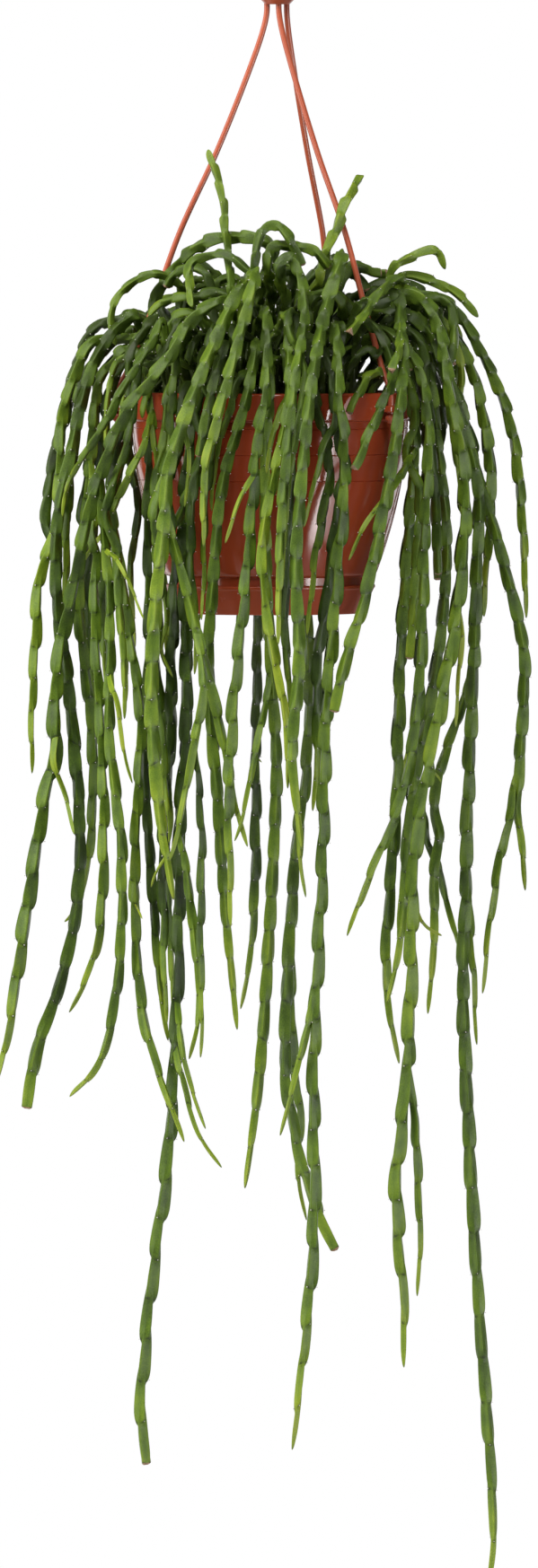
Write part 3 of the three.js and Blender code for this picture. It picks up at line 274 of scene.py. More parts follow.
# Stems of the far side: the spray whose first stem they mirror, their girth and level, and the
# share of its route that they keep.
FAR_SIDE = [
    ("left_outer", 4.6, -2, 0.6), ("left_long", 5, -3, 0.55), ("left_middle", 4.4, -1, 0.6),
    ("front_thick", 5, -2, 0.9), ("front_middle", 4.8, -3, 0.8), ("front_right", 5, -2, 0.7),
    ("right_third", 4.6, -2, 0.72), ("right_thick", 5.2, -3, 0.5), ("right_fifth", 4.4, -3, 0.95),
    ("right_outer", 4.8, -1, 0.65),
]

# More stems that only this scene has, in the tangle over the peat and in the curtain's gaps.
# grows_on names the spray whose nearest stem carries it, and inside is the share of the
# shell's depth that it keeps to.
EXTRAS = {
    "crown_tangle": [
        shoot(4.2, "dark", 2, "-22,-51 -28,-66 -35,-74 -44,-78 -53,-76 -61,-69 "
              "-66,-59", tip="blunt", inside=0.7),
        shoot(4.4, "dark", 2, "-18,-64 -28,-61 -41,-59 -55,-59 -66,-56 -74,-50 -79,-40", inside=0.8),
        shoot(4.2, "mid", 2, "-37,-54 -49,-51 -58,-47 -66,-39 -73,-29 -77,-15 -79,2 -80,25", inside=0.9),
        shoot(4, "mid", 2, "-56,-25 -66,-29 -76,-28 -85,-24 -93,-18 -98,-9 -101,5 -102,25 "
              "-101,47", inside=0.95),
        shoot(4, "dark", 2, "-62,-20 -72,-19 -81,-16 -87,-8 -91,5 -93,22 -96,41", inside=0.85),
        shoot(4.6, "dark", 2, "16,-47 10,-57 1,-62 -9,-62 -18,-57 -25,-48 "
              "-30,-36", tip="blunt", inside=0.6),
        shoot(4.2, "dark", 2, "19,-76 9,-74 -1,-71 -9,-66 -16,-57 -22,-45", tip="blunt", inside=0.5),
        shoot(3.8, "dark", 2, "-34,-2 -39,-13 -46,-22 -56,-25 -65,-21 -72,-13", inside=0.5),
        shoot(4.4, "dark", 2, "36,-59 42,-73 49,-80 57,-77 67,-73 76,-75", tip="blunt", inside=0.6),
        shoot(4.6, "mid", 2, "25,-62 34,-69 44,-65 56,-56 67,-48 77,-38 84,-25 "
              "87,-9", tip="blunt", inside=0.8),
        shoot(4.4, "dark", 2, "33,-54 42,-56 51,-53 60,-47 69,-37 76,-23 78,-6", tip="blunt", inside=0.6),
        shoot(4.2, "dark", 2, "0,-48 -3,-65 0,-77 6,-82 14,-76 18,-62 19,-47", tip="blunt", inside=0.3),
        shoot(4, "dark", 2, "-34,-48 -36,-62 -31,-73 -24,-76 -17,-69 -14,-56", tip="blunt", inside=0.2),
        shoot(4.2, "dark", 2, "16,-31 25,-48 29,-62 34,-73 44,-77 56,-70 62,-59", tip="blunt", inside=0.3),
        shoot(3.8, "dark", 2, "-51,-31 -53,-48 -49,-62 -42,-69 -33,-66", tip="blunt", inside=0.1),
        shoot(4.4, "dark", 2, "50,-20 47,-37 51,-48 60,-54 72,-55 85,-51 95,-42 101,-29 "
              "105,-12", inside=0.5),
        shoot(4.2, "dark", 2, "61,-9 60,-23 64,-36 72,-44 82,-45 91,-38 97,-25 "
              "100,-6", tip="blunt", inside=0.6),
        shoot(4, "dark", 2, "0,-9 -7,-23 -11,-37 -16,-47", tip="blunt", inside=0.2),
        shoot(4, "dark", 2, "11,-3 10,-20 12,-34 16,-44", tip="blunt", inside=0.2),
        shoot(3.8, "dark", 2, "25,-3 29,-17 37,-27 47,-31 56,-29", tip="blunt", inside=0.5),
        shoot(4, "dark", 2, "-17,-3 -22,-17 -28,-27 -36,-32 -45,-34 -53,-29", inside=0.5),
    ],
    "curtain_front": [
        shoot(4.2, "mid", 1, "-32,-9 -35,1 -38,16 -42,30 -46,44 -49,58 -53,70 -57,92 -60,114 -64,136 "
              "-67,150"),
        shoot(4.2, "dark", 1, "-27,2 -32,19 -34,36 -36,53 -37,69 -35,83"),
        shoot(4.4, "dark", 1, "-41,30 -44,47 -47,64 -49,80 -50,97 -48,117 -46,136 -46,159 -47,181"),
        shoot(3.8, "dark", 1, "-38,47 -41,69 -41,92 -41,114 -42,134 -43,149"),
        shoot(4.4, "dark", 1, "16,-6 12,2 6,11 2,22 -1,36 -3,55"),
        shoot(3.4, "bright", 3, "16,-3 15,11 14,25 13,41 11,58 10,75 9,92 8,108 9,122"),
        shoot(4.2, "dark", 2, "40,19 34,30 30,44 27,58 23,72 20,87"),
        shoot(5, "dark", 1, "42,-12 40,2 39,25 40,47 39,69 38,92 37,114 34,136 30,159 29,181 29,203 "
              "29,226 28,245 26,262"),
        shoot(4.2, "dark", 1, "13,53 12,69 11,92 11,114 9,131 9,148 11,170 13,192 16,215"),
        shoot(4.2, "mid", 1, "70,-23 62,-13 56,-2 51,8 48,17", tip="blunt"),
        shoot(4.6, "mid", 2, "-67,92 -69,120 -69,148 -70,181 -67,203 -65,231 -63,254 -62,271 -64,288"),
        shoot(4.4, "dark", 1, "-56,148 -58,181 -60,215 -60,248 -62,276 -63,299 -64,324 -62,349 -61,377 "
              "-60,399"),
        shoot(2.6, "yellow", 4, "-67,287 -71,297 -75,311", grows_on="front_thick"),
        shoot(2.2, "yellow", -1, "-7,229 -4,236 -1,244", grows_on="centre_shaded"),
        shoot(3.6, "mid", 3, "14,231 16,248 18,271 19,293 22,310 24,321", grows_on="front_right"),
    ],
    "curtain_left": [
        shoot(4.4, "mid", 1, "-115,-12 -119,2 -121,25 -124,47 -127,69 -127,92 -127,114 -128,136 -131,154"),
        shoot(4, "mid", 4, "-94,2 -98,12 -105,23 -114,37 -121,48 -127,63 -129,80"),
        shoot(4.6, "dark", 1, "-99,-3 -102,13 -105,36 -109,64 -112,92 -114,120 -113,148 -111,176 -108,203 "
              "-106,229"),
        shoot(4.4, "dark", 2, "-91,19 -96,41 -99,64 -102,92 -104,120 -104,148 -102,176 -99,203"),
        shoot(4, "mid", 3, "-96,58 -99,75 -98,94 -95,114 -93,136 -91,159 -90,181 -90,205"),
        shoot(4, "mid", 1, "-68,69 -70,92 -66,114 -62,136 -60,159 -57,179"),
        shoot(2, "yellow", 3, "-80,318 -79,325 -77,330", grows_on="left_inner"),
    ],
    "curtain_right": [
        shoot(4.4, "bright", 3, "95,-48 103,-31 108,-9 112,13 115,36 118,58 119,80"),
        shoot(4.4, "dark", 2, "90,-20 96,-6 99,13 101,41 103,69 104,97 105,121", tip="blunt"),
        shoot(4.2, "mid", 2, "86,-9 90,8 92,36 93,69 91,103 89,136 87,156 86,171", tip="blunt"),
        shoot(3.2, "mid", 3, "128,136 126,150 123,168", grows_on="longest"),
        shoot(2.2, "yellow", 3, "104,231 106,241 108,247", grows_on="right_thick"),
        shoot(2.4, "mid", 2, "77,253 75,259 73,265", grows_on="right_second"),
    ],
}

# More stems of the far side, as in FAR_SIDE.
FAR_EXTRAS = [
    ("left_deep", 4.6, -2, 0.7), ("long_dark", 4.4, -1, 0.6), ("front_slim", 4.4, -1, 0.9),
    ("front_bright", 4.6, -3, 1), ("front_yellow", 4, -2, 0.9), ("front_arched", 4.4, -3, 0.9),
    ("centre_long", 4.8, -2, 0.6), ("right_second", 4.4, -2, 0.7), ("right_fourth", 4.2, -3, 0.8),
    ("longest", 4.6, -2, 0.5),
]


# ---------------------------------------------------------------- helpers
def clamp01(value):
    return np.clip(value, 0.0, 1.0)


def smooth(value):
    share = clamp01(value)
    return share**2 * (3 - 2 * share)


def mix(start, end, share):
    return start + (end - start) * share


def nearest_whole(value):
    return math.floor(value + 0.5)


def unit(vectors):
    return vectors / np.linalg.norm(vectors, axis=-1, keepdims=True)


def seeded_draw(seed):
    state = seed
    while True:
        state = (state * 1664525 + 1013904223) % 2**32
        yield state / 2**32


# ---------------------------------------------------------------- curves
def four_round(points, place):
    """The four points round each place along a line, and how far it is past the second."""
    padded = np.vstack([2 * points[0] - points[1], points, 2 * points[-1] - points[-2]])
    first = np.minimum(place.astype(int), len(points) - 2)
    return *(padded[first + offset] for offset in range(4)), (place - first)[:, None]


def curve_points(points, shares):
    """Centripetal curve through the points, at shares from 0 to 1 of its parameter."""
    points = np.asarray(points, float)
    p0, p1, p2, p3, weight = four_round(points, np.asarray(shares, float) * (len(points) - 1))
    gap0, gap1, gap2 = (
        np.sqrt(np.linalg.norm(b - a, axis=1))[:, None] for a, b in ((p0, p1), (p1, p2), (p2, p3))
    )
    slope1 = ((p1 - p0) / gap0 - (p2 - p0) / (gap0 + gap1) + (p2 - p1) / gap1) * gap1
    slope2 = ((p2 - p1) / gap1 - (p3 - p1) / (gap1 + gap2) + (p3 - p2) / gap2) * gap1
    square = 3 * (p2 - p1) - 2 * slope1 - slope2
    cube = 2 * (p1 - p2) + slope1 + slope2
    return p1 + slope1 * weight + square * weight**2 + cube * weight**3


def uniform_curve(line, shares):
    """A smooth curve through evenly spaced points."""
    p0, p1, p2, p3, w = four_round(line, clamp01(shares) * (len(line) - 1))
    square = 2 * p0 - 5 * p1 + 4 * p2 - p3
    cube = 3 * p1 - p0 - 3 * p2 + p3
    return 0.5 * (2 * p1 + (p2 - p0) * w + square * w**2 + cube * w**3)


def even_steps(points):
    count = STEM.curve_steps * (len(points) - 1)
    dense = curve_points(points, np.arange(count + 1) / count)
    line = [dense[0]]
    walked = 0.0
    following = STEM.step
    for before, here in zip(dense[:-1], dense[1:]):
        span = np.linalg.norm(here - before)
        while walked + span >= following:
            line.append(mix(before, here, (following - walked) / span))
            following += STEM.step
        walked += span
    return np.array(line)


def evenly_along(points, samples=200):
    """Points about a stem's step apart, on the curve through the given ones from end to end."""
    shares = np.arange(samples + 1) / samples
    dense = curve_points(points, shares)
    walked = np.concatenate([[0], np.cumsum(np.linalg.norm(np.diff(dense, axis=0), axis=1))])
    count = nearest_whole(walked[-1] / STEM.step)
    wanted = np.arange(count + 1) / count * walked[-1]
    return curve_points(points, np.interp(wanted, walked, shares))


def line_length(line):
    return (len(line) - 1) * STEM.step


# ---------------------------------------------------------------- forms that others need
def wall_radius(drop):
    share = clamp01((drop - POT.band_drop) / (POT.waist_drop - POT.band_drop))
    return mix(POT.shoulder_radius, POT.waist_radius, share**POT.bulge)


def soil_height(radius):
    share = clamp01(radius / (POT.shoulder_radius - POT.wall))
    return -mix(SOIL.crown_drop, SOIL.edge_drop, share**2)


def strand_point(azimuth, place):
    share, height = place
    angle = math.radians(azimuth)
    x = mix(HUB.offset, EAR.ring * math.cos(angle), share)
    return np.array([x, EAR.ring * math.sin(angle) * share, height])


# ---------------------------------------------------------------- the stems' lines
def depth_at(x, drop, level):
    outward = abs(level) - 1
    opened = smooth((drop + SHELL.arch_top) / SHELL.arch_height)
    reach = (SHELL.first + SHELL.spacing * outward) * mix(SHELL.arch_share, 1, opened)
    least = SHELL.least + SHELL.least_spacing * outward
    return -math.copysign(math.sqrt(max(reach**2 - x**2, least**2)), level)


def new_stem(member, spray):
    shared = dict(tip=None, inside=1, grows_from=None, grows_on=None, parent=-1, fork=0)
    return SimpleNamespace(**{**shared, **member, "spray": spray})


def route_points(stem):
    return [
        np.array([x, stem.inside * depth_at(x, drop, stem.level), -drop]) for x, drop in stem.route
    ]


def root_wish(route):
    return route[0][0] * STEM.root_pull, route[0][1] * STEM.root_pull


def root_places(count, field):
    turn = math.pi * (3 - math.sqrt(5))
    radii = [field * math.sqrt((index + 0.5) / count) for index in range(count)]
    return [
        (radius * math.cos(index * turn), radius * math.sin(index * turn))
        for index, radius in enumerate(radii)
    ]


def squared_gap(a, b):
    return (a[0] - b[0]) ** 2 + (a[1] - b[1]) ** 2


def share_out(places, wishes):
    """Gives each wish one place, then trades places while a trade brings both nearer in sum."""
    taken = list(places)
    traded = True
    while traded:
        traded = False
        for one in range(len(wishes)):
            for two in range(one + 1, len(wishes)):
                now = squared_gap(taken[one], wishes[one]) + squared_gap(taken[two], wishes[two])
                then = squared_gap(taken[two], wishes[one]) + squared_gap(taken[one], wishes[two])
                if then < now - MERGE:
                    taken[one], taken[two] = taken[two], taken[one]
                    traded = True
    return taken


def free_root(wish, taken):
    """The place in the peat nearest to the wish that has room for one more stem."""
    free = [
        place for place in root_places(ROOM.places, ROOM.field)
        if all(squared_gap(place, other) > ROOM.apart**2 for other in taken)
    ]
    taken.append(min(free, key=lambda place: squared_gap(place, wish)))
    return taken[-1]


def climb(root, first, draw):
    """The way from a root up to its route, over the rim first where the route starts low."""
    x, y = root
    ground = soil_height(math.hypot(x, y))
    height = CLIMB.crest_height * (1 + next(draw))
    low = first[2] < CLIMB.low_start
    crest = first
    if low:
        share = CLIMB.crest / math.hypot(first[0], first[1])
        crest = np.array([first[0] * share, first[1] * share, height])
    lean_x, lean_y = mix(x, crest[0], CLIMB.lean), mix(y, crest[1], CLIMB.lean)
    way = [(x, y, ground + CLIMB.foot), (x, y, ground + CLIMB.upright)]
    way.append((lean_x, lean_y, mix(ground, crest[2], CLIMB.lift)))
    return [np.array(place) for place in way] + ([crest] if low else [])


def nearest_link_end(line, index):
    """Stems fork where a joint of the solids ends."""
    length = line_length(line)
    link = length / max(nearest_whole(length / STEM.link), STEM.fewest_links)
    joint = max(nearest_whole(index * STEM.step / link - STEM.full_at), 0)
    return nearest_whole((joint + STEM.full_at) * link / STEM.step)


def grow(stem, carriers, pick_root, draw):
    """Gives a stem its line, from a root in the peat or from where its carrier passes."""
    stem.twist = 2 * math.pi * next(draw)
    route = route_points(stem)
    if stem.parent < 0:
        stem.line = even_steps(climb(pick_root(root_wish(route)), route[0], draw) + route)
        return
    carrier_line = carriers[stem.parent].line
    nearest = int(np.argmin(np.linalg.norm(carrier_line - route[0], axis=1)))
    stem.fork = nearest_link_end(carrier_line, nearest)
    route[0] = carrier_line[stem.fork]
    stem.line = even_steps(route)


def far_sprays(likenesses):
    sprays = {}
    for like, girth, level, keep in likenesses:
        route = SPRAYS[like][0]["route"]
        kept = route[: nearest_whole(len(route) * keep)]
        sprays["far_" + like] = [dict(girth=girth, level=level, tone="dark", route=kept)]
    return sprays


def behind(members):
    """The same routes on the far side, where the front's own stems hide them."""
    rooted = [member for member in members if "grows_on" not in member]
    return [dict(member, level=-member["level"]) for member in rooted]


def lay_out(sprays):
    """Every stem of the solids, before the stems make room for each other."""
    draw = seeded_draw(SEED)
    routes = [route_points(new_stem(members[0], "")) for members in sprays.values()]
    wishes = [root_wish(route) for route in routes]
    roots = iter(share_out(root_places(len(wishes), STEM.root_field), wishes))
    stems = []
    for spray, members in sprays.items():
        start = len(stems)
        for member in members:
            stem = new_stem(member, spray)
            if stem.grows_from is not None:
                stem.parent = start + stem.grows_from
            grow(stem, stems, lambda wish: next(roots), draw)
            stems.append(stem)
    return stems


def lay_out_extras(stems, groups, seed):
    """The scene's own stems, rooted in the peat's free places or growing on the given stems."""
    draw = seeded_draw(seed)
    taken = [tuple(stem.line[0][:2]) for stem in stems if stem.parent < 0]
    extras = []
    for group, members in groups.items():
        for member in members:
            stem = new_stem(member, group)
            if stem.grows_on:
                start = route_points(stem)[0]
                likely = [number for number, other in enumerate(stems) if other.spray == stem.grows_on]
                gaps = [np.linalg.norm(stems[number].line - start, axis=1).min() for number in likely]
                stem.parent = likely[int(np.argmin(gaps))]
            grow(stem, stems, lambda wish: free_root(wish, taken), draw)
            extras.append(stem)
    return extras


def relax(stems):
    """Eases the stems' sharpest bends, and puts their points at even steps again."""
    for stem in stems:
        line = stem.line.copy()
        for _ in range(SETTLE.relax_rounds):
            steps = np.diff(line, axis=0)
            steps /= np.maximum(np.linalg.norm(steps, axis=1, keepdims=True), MERGE)
            bend = 1 - (steps[1:] * steps[:-1]).sum(1, keepdims=True)
            eased = 0.5 * line[1:-1] + 0.25 * (line[:-2] + line[2:])
            share = clamp01(bend / SETTLE.sharp_bend - SETTLE.gentle_share)
            line[1:-1] = mix(line[1:-1], eased, share)
        stem.line = even_steps(line)


# ---------------------------------------------------------------- making room
def outline():
    """The pot's and saucer's outline, (radius, height), that stems stay outside of."""
    inner = POT.shoulder_radius - POT.wall
    curve = [mix(POT.band_drop, POT.waist_drop, share) for share in (0.25, 0.5, 0.75)]
    return np.array([
        (inner, -SOIL.edge_drop), (inner, 0), (POT.rim_radius, 0), (POT.rim_radius, -POT.band_drop),
        (POT.shoulder_radius, -POT.band_drop), *[(wall_radius(drop), -drop) for drop in curve],
        (POT.waist_radius, -POT.waist_drop), (SAUCER.rim_radius, -SAUCER.rim_drop),
        (SAUCER.base_radius, -SAUCER.base_drop), (0, -SAUCER.base_drop),
    ])


def nearest_on_outline(profile, radius, height):
    start = profile[:-1, None]
    span = np.diff(profile, axis=0)[:, None]
    place = np.stack([radius, height], axis=1)[None]
    share = clamp01(((place - start) * span).sum(2) / (span**2).sum(2))
    nearest = start + share[..., None] * span
    gap = np.linalg.norm(place - nearest, axis=2)
    best = gap.argmin(0)
    column = np.arange(len(radius))
    return nearest[best, column, 0], nearest[best, column, 1], gap[best, column]


def fixed_points():
    """Places and girths that never move: along the strands, and at their ears."""
    places = []
    girths = []
    for azimuth in STRANDS.values():
        along = evenly_along([strand_point(azimuth, place) for place in STRAND_LINE])
        ears = (EAR.top - EAR.thick / 2, EAR.top - 3 * EAR.thick)
        places.extend([*along, *(strand_point(azimuth, (1, height)) for height in ears)])
        girths.extend([STRAND.radius] * len(along) + [EAR.width / 2] * len(ears))
    return np.array(places), np.array(girths)


def tapered(stem, distance, length, taper, end):
    thin = mix(end, 1, smooth((length - distance) / taper) ** STEM.taper_power)
    start = mix(STEM.base_share, 1, smooth(distance / STEM.base_length))
    return stem.girth * np.minimum(thin, start)


def point_facts(stems, held):
    """What stays the same for every point of the stems, and of the fixed ones after them."""
    fixed, fixed_girths = fixed_points()
    first = np.cumsum([0] + [len(stem.line) for stem in stems])
    total = first[-1] + len(fixed)
    facts = SimpleNamespace(
        first=first, movable=first[-1], first_free=first[held], fixed=fixed,
        owner=np.full(total, -1), index=np.zeros(total, int), rank=np.zeros(total),
        girth=np.zeros(total), give=np.zeros((total, 3)),
        parent=np.array([stem.parent for stem in stems] + [-1]),
    )
    facts.girth[facts.movable :] = fixed_girths
    for number, stem in enumerate(stems):
        part = slice(first[number], first[number + 1])
        steps = np.arange(len(stem.line))
        facts.owner[part] = number
        facts.index[part] = steps
        facts.rank[part] = abs(stem.level) + number / len(stems)
        end = STEM.tip_share if stem.tip is None else STEM.end_share
        length = line_length(stem.line)
        facts.girth[part] = tapered(stem, steps * STEM.step, length, STEM.taper, end)
        if number < held:
            continue
        near_root = (stem.parent < 0) & (steps * STEM.step < SETTLE.free_length)
        loose = near_root | stem.spray.startswith("far_")
        facts.give[part] = np.where(loose[:, None], SETTLE.free, SETTLE.traced)
        if stem.parent < 0:
            facts.give[part][: SETTLE.held_points] = 0
    return facts


def make_room(stems, held=0):
    """Pushes the stems apart, a little in every round, but the first few may be held still."""
    facts = point_facts(stems, held)
    places = np.vstack([stem.line for stem in stems] + [facts.fixed])
    movable = facts.movable
    profile = outline()
    for number in range(SETTLE.rounds):
        if number % SETTLE.refresh == 0:
            one, two = close_pairs(places, facts)
            outward_sign = np.where(facts.rank[two] > facts.rank[one], 1.0, -1.0)
            needed = facts.girth[one] + facts.girth[two] + SETTLE.space
        moves = np.zeros_like(places)
        slide = SETTLE.slide * max(1 - number / SETTLE.slide_rounds, 0)
        away = places[two] - places[one]
        gap = np.linalg.norm(away, axis=1)
        near = needed > gap
        missing = (needed - gap)[near, None]
        away = away[near] * 0.5 * missing / np.maximum(gap[near, None], MERGE)
        outward = outward_at(places[two[near]]) * missing * outward_sign[near, None] * slide
        np.add.at(moves, one[near], -away - outward)
        np.add.at(moves, two[near], away + outward)
        moves = moves[:movable]
        clear_of_pot(places[:movable], facts, moves, profile)
        moves *= facts.give[:movable]
        size = np.linalg.norm(moves, axis=1, keepdims=True)
        moves *= np.minimum(SETTLE.largest_move / np.maximum(size, MERGE), 1)
        plain = number >= SETTLE.rounds - SETTLE.plain_rounds
        for _ in range(1 if plain else SETTLE.easing):
            ease_moves(stems, facts.first, moves, held)
        places[:movable] += moves
    for number, stem in enumerate(stems[held:], held):
        stem.line = places[facts.first[number] : facts.first[number + 1]].copy()


def close_pairs(places, facts, chunk=500):
    """Pairs of points of two stems that may meet before the next look, one of them free."""
    girth, owner = facts.girth, facts.owner
    reach = 2 * SETTLE.refresh * SETTLE.largest_move + SETTLE.space
    squares = (places**2).sum(1)
    pairs = []
    for start in range(facts.first_free, facts.movable, chunk):
        rows = slice(start, min(start + chunk, facts.movable))
        gaps = squares[rows, None] + squares - 2 * places[rows] @ places.T
        one, two = np.nonzero(gaps < (girth[rows, None] + girth + reach) ** 2)
        pairs.append((one + start, two))
    one, two = np.hstack(pairs)
    kept = ((two > one) | (two < facts.first_free)) & (owner[one] != owner[two])
    one, two = one[kept], two[kept]
    kept = ~near_fork(one, two, facts) & ~near_fork(two, one, facts)
    return one[kept], two[kept]


def near_fork(child, other, facts):
    """Whether points are where one stem leaves the other's, or both leave the same."""
    one, two = facts.owner[child], facts.owner[other]
    carrier = facts.parent[one]
    related = (carrier == two) | ((carrier >= 0) & (facts.parent[two] == carrier))
    close = facts.index[child] * STEM.step < SETTLE.fork_length
    return (one >= 0) & (two >= 0) & related & close


def outward_at(places):
    out = places.copy()
    out[:, 2] = np.maximum(out[:, 2] + SETTLE.slide_centre, 0)
    return unit(out)


def clear_of_pot(places, facts, moves, profile):
    """At the rim points go up over it, in the peat up out of it, elsewhere straight away."""
    girth = facts.girth[: len(places)]
    index = facts.index[: len(places)]
    radius = np.hypot(places[:, 0], places[:, 1])
    height = places[:, 2]
    lowest = -SAUCER.base_drop - SETTLE.pot_below
    beside = (radius <= SETTLE.pot_reach) & (height <= SETTLE.pot_above) & (height >= lowest)
    clear = girth + SETTLE.pot_space
    wall_inside = POT.shoulder_radius - POT.wall - SETTLE.wall_margin
    in_wall = beside & (radius > wall_inside) & (radius < POT.rim_radius + POT.edge)
    in_wall &= (height > -POT.band_drop) & (height < clear)
    moves[in_wall, 2] += (clear - height)[in_wall]
    rest = beside & ~in_wall
    ground = soil_height(radius) + girth + SETTLE.soil_space
    sunk = rest & (radius < POT.shoulder_radius) & (height > -SOIL.edge_drop)
    sunk &= (height < ground) & (index >= SETTLE.held_points)
    moves[sunk, 2] += (ground - height)[sunk]
    rows = np.nonzero(rest)[0]
    near_radius, near_height, gap = nearest_on_outline(profile, radius[rows], height[rows])
    missing = clear[rows] - gap
    pushed = (missing > 0) & (gap > 0)
    rows = rows[pushed]
    push = (missing / np.maximum(gap, MERGE))[pushed]
    across = (radius[rows] - near_radius[pushed]) * push / radius[rows]
    moves[rows, 0] += places[rows, 0] * across
    moves[rows, 1] += places[rows, 1] * across
    moves[rows, 2] += (height[rows] - near_height[pushed]) * push


def ease_moves(stems, first, moves, held):
    """Evens out the moves along each stem, and moves a fork as its parent moves there."""
    for number, stem in enumerate(stems[held:], held):
        part = moves[first[number] : first[number + 1]]
        if stem.parent >= 0:
            part[0] = moves[first[stem.parent] + stem.fork]
        start = 1 if stem.parent < 0 else 0
        after = np.vstack([part[start + 2 :], part[-1:]])
        part[start + 1 :] = 0.5 * part[start + 1 :] + 0.25 * part[start:-1] + 0.25 * after


# ---------------------------------------------------------------- the stems' bodies
# A link's cross-section is a rounded triangle, and its three ribs rise from its start to its
# end, stop short there and stand between the next link's.
RIB = SimpleNamespace(
    corners=(3.6, 6.5),  # the higher, the sharper the ribs: at their softest and sharpest
    blend=8.0,  # the higher, the crisper one link meets the next
    hollow=0.08,  # how much a face sinks in at its middle
    soft=((-0.45, 0.3), (-0.2, 0.6), (-0.02, 0.75), (0.15, 0.83), (0.4, 0.92), (0.62, 1.01),
          (0.8, 1.08), (0.92, 1.06), (1.0, 0.95), (1.1, 0.77), (1.25, 0.5), (1.4, 0.3)),
    sharp=((-0.5, 0.4), (-0.3, 0.59), (-0.12, 0.75), (0.04, 0.84), (0.2, 0.92), (0.4, 0.98),
           (0.58, 1.02), (0.74, 1.02), (0.85, 0.96), (0.925, 0.87), (0.98, 0.75), (1.03, 0.58),
           (1.07, 0.38)),
    sharp_drops=(-50.0, 90.0),  # crown links are soft, hanging ones are sharp
    least_sharp=0.2,
    first_part=0.3,  # this much of a stem's first link is no thinner than the next number
    first_height=0.66,
    last_part=0.84,  # from here on a stem's last link keeps its girth
    crest=12,  # the higher, the narrower the painted highlight line on a rib
    slant=0.34,  # how far a joint may lean, as a share of the stem's girth
    drops=(-30, 60, 250, 500, 700),  # links grow longer the lower they hang
    lengths=(12.0, 17.0, 20.0, 24.0, 28.0),
    thin_share=0.7,  # a stem with no girth at all would have links so much shorter
    full_girth=5.0,
    length_play=0.12,  # how much longer or shorter a link is
    turn_play=7.0,  # degrees that a link is turned more or less than a sixth
    girth_play=0.06,
    taper=100.0,  # how far from its tip a stem starts to grow thin
    blunt_taper=35.0,
    tip_share=0.4,
    crown_tip_share=0.8,
    crown_drop=30.0,  # stems that end above it keep thick, dull tips
    girth_drops=(-100, -60, -20, 80, 420, 700),  # heights at which stems are thicker by these
    girth_shares=(1.22, 1.08, 0.95, 0.97, 1.01, 0.92),
    sunk_points=2,  # points of a rooted stem's line added below the peat
)
# Degrees of a section's corners in each sixth of it, and where a link's rings are.
FINE_LINKS = SimpleNamespace(
    sector=(0.0, 8.0, 52.0),
    rings=(0.0, 0.05, 0.12, 0.25, 0.42, 0.6, 0.74, 0.84, 0.91, 0.95, 0.98),
)
PLAIN_LINKS = SimpleNamespace(sector=(0.0, 30.0), rings=(0.0, 0.08, 0.25, 0.5, 0.74, 0.86, 0.95))
# A fresh tip closes over a length in girths, a cut one in mm, and each in its rings.
FRESH_TIP = SimpleNamespace(closing=2.6, least=0.06, rings=(1, 0.75, 0.5, 0.3, 0.15, 0.06, 0.0))
CUT_TIP = SimpleNamespace(closing=1.2, least=0.55, rings=(1, 0.6, 0.3, 0.1, 0.0))
# The dark line across a rib where two links meet: its place and width are shares of a link.
NOTCH = SimpleNamespace(place=0.965, width=0.04, on_faces=0.12, narrow=10)
TONES = {"dark": 0.17, "mid": 0.43, "light": 0.52, "bright": 0.62, "yellow": 0.8}
# Drops are given in pairs, between which one look goes over into another.
LOOK = SimpleNamespace(
    dull_tone=0.5,  # no hanging stem is brighter in the crown
    dull_drops=(-40, 180),
    shade=0.84,  # painted shade over the crown: its stems' tone is darkened to this share
    shade_drops=(-90, 110),
    low_tone=0.4,  # no hanging end is darker
    low_drops=(300.0, 520.0),
    link_play=0.08,
    stem_play=0.07,
    tip_length=100.0,  # how long a fresh tip is
    tip_tone=0.66,
    crown_tip_tone=0.46,
    cut_freshness=0.5,
    crown_age=0.3,
    crown_age_drops=(-60, 100),
    old_length=60,  # a stem's oldest part, from its root
    grain_length=26,
)
AREOLE = SimpleNamespace(
    place=0.955,  # share of its link
    sizes=(0.26, 0.46),
    least_share=0.6,
    girth_share=0.08,  # how much larger they are on a thicker stem
    shown=0.6,  # share of the ribs' ends that have one
    height=0.86,
)
BLOB = unit(np.array([(1, 0, 0), (0, 1, 0), (-1, 0, 0), (0, -1, 0), (0, 0, 1), (0, 0, -1)], float))
BLOB_FACES = [(0, 1, 4), (1, 2, 4), (2, 3, 4), (3, 0, 4), (1, 0, 5), (2, 1, 5), (3, 2, 5), (0, 3, 5)]


def to_world(places):
    offset = np.array([HUB.offset, 0, HOOK.hanging_point])
    return (np.asarray(places) - offset) / 1000


def added(name, data):
    """A new object in the scene with the given mesh, camera or light."""
    thing = bpy.data.objects.new(name, data)
    bpy.context.scene.collection.objects.link(thing)
    return thing


def eased(value, ends):
    """Nothing before one end, one after the other, and smooth between them."""
    low, high = ends
    return smooth((value - low) / (high - low))


def directions_along(line):
    steps = np.arange(len(line))
    return unit(line[np.minimum(steps + 1, len(line) - 1)] - line[np.maximum(steps - 1, 0)])


def sides_along(line, twist):
    """A steady sideways direction at every point of a line."""
    side = np.array([math.cos(twist), math.sin(twist), 0])
    sides = []
    for direction in directions_along(line):
        side = unit(side - direction * (side @ direction))
        sides.append(side)
    return np.array(sides)


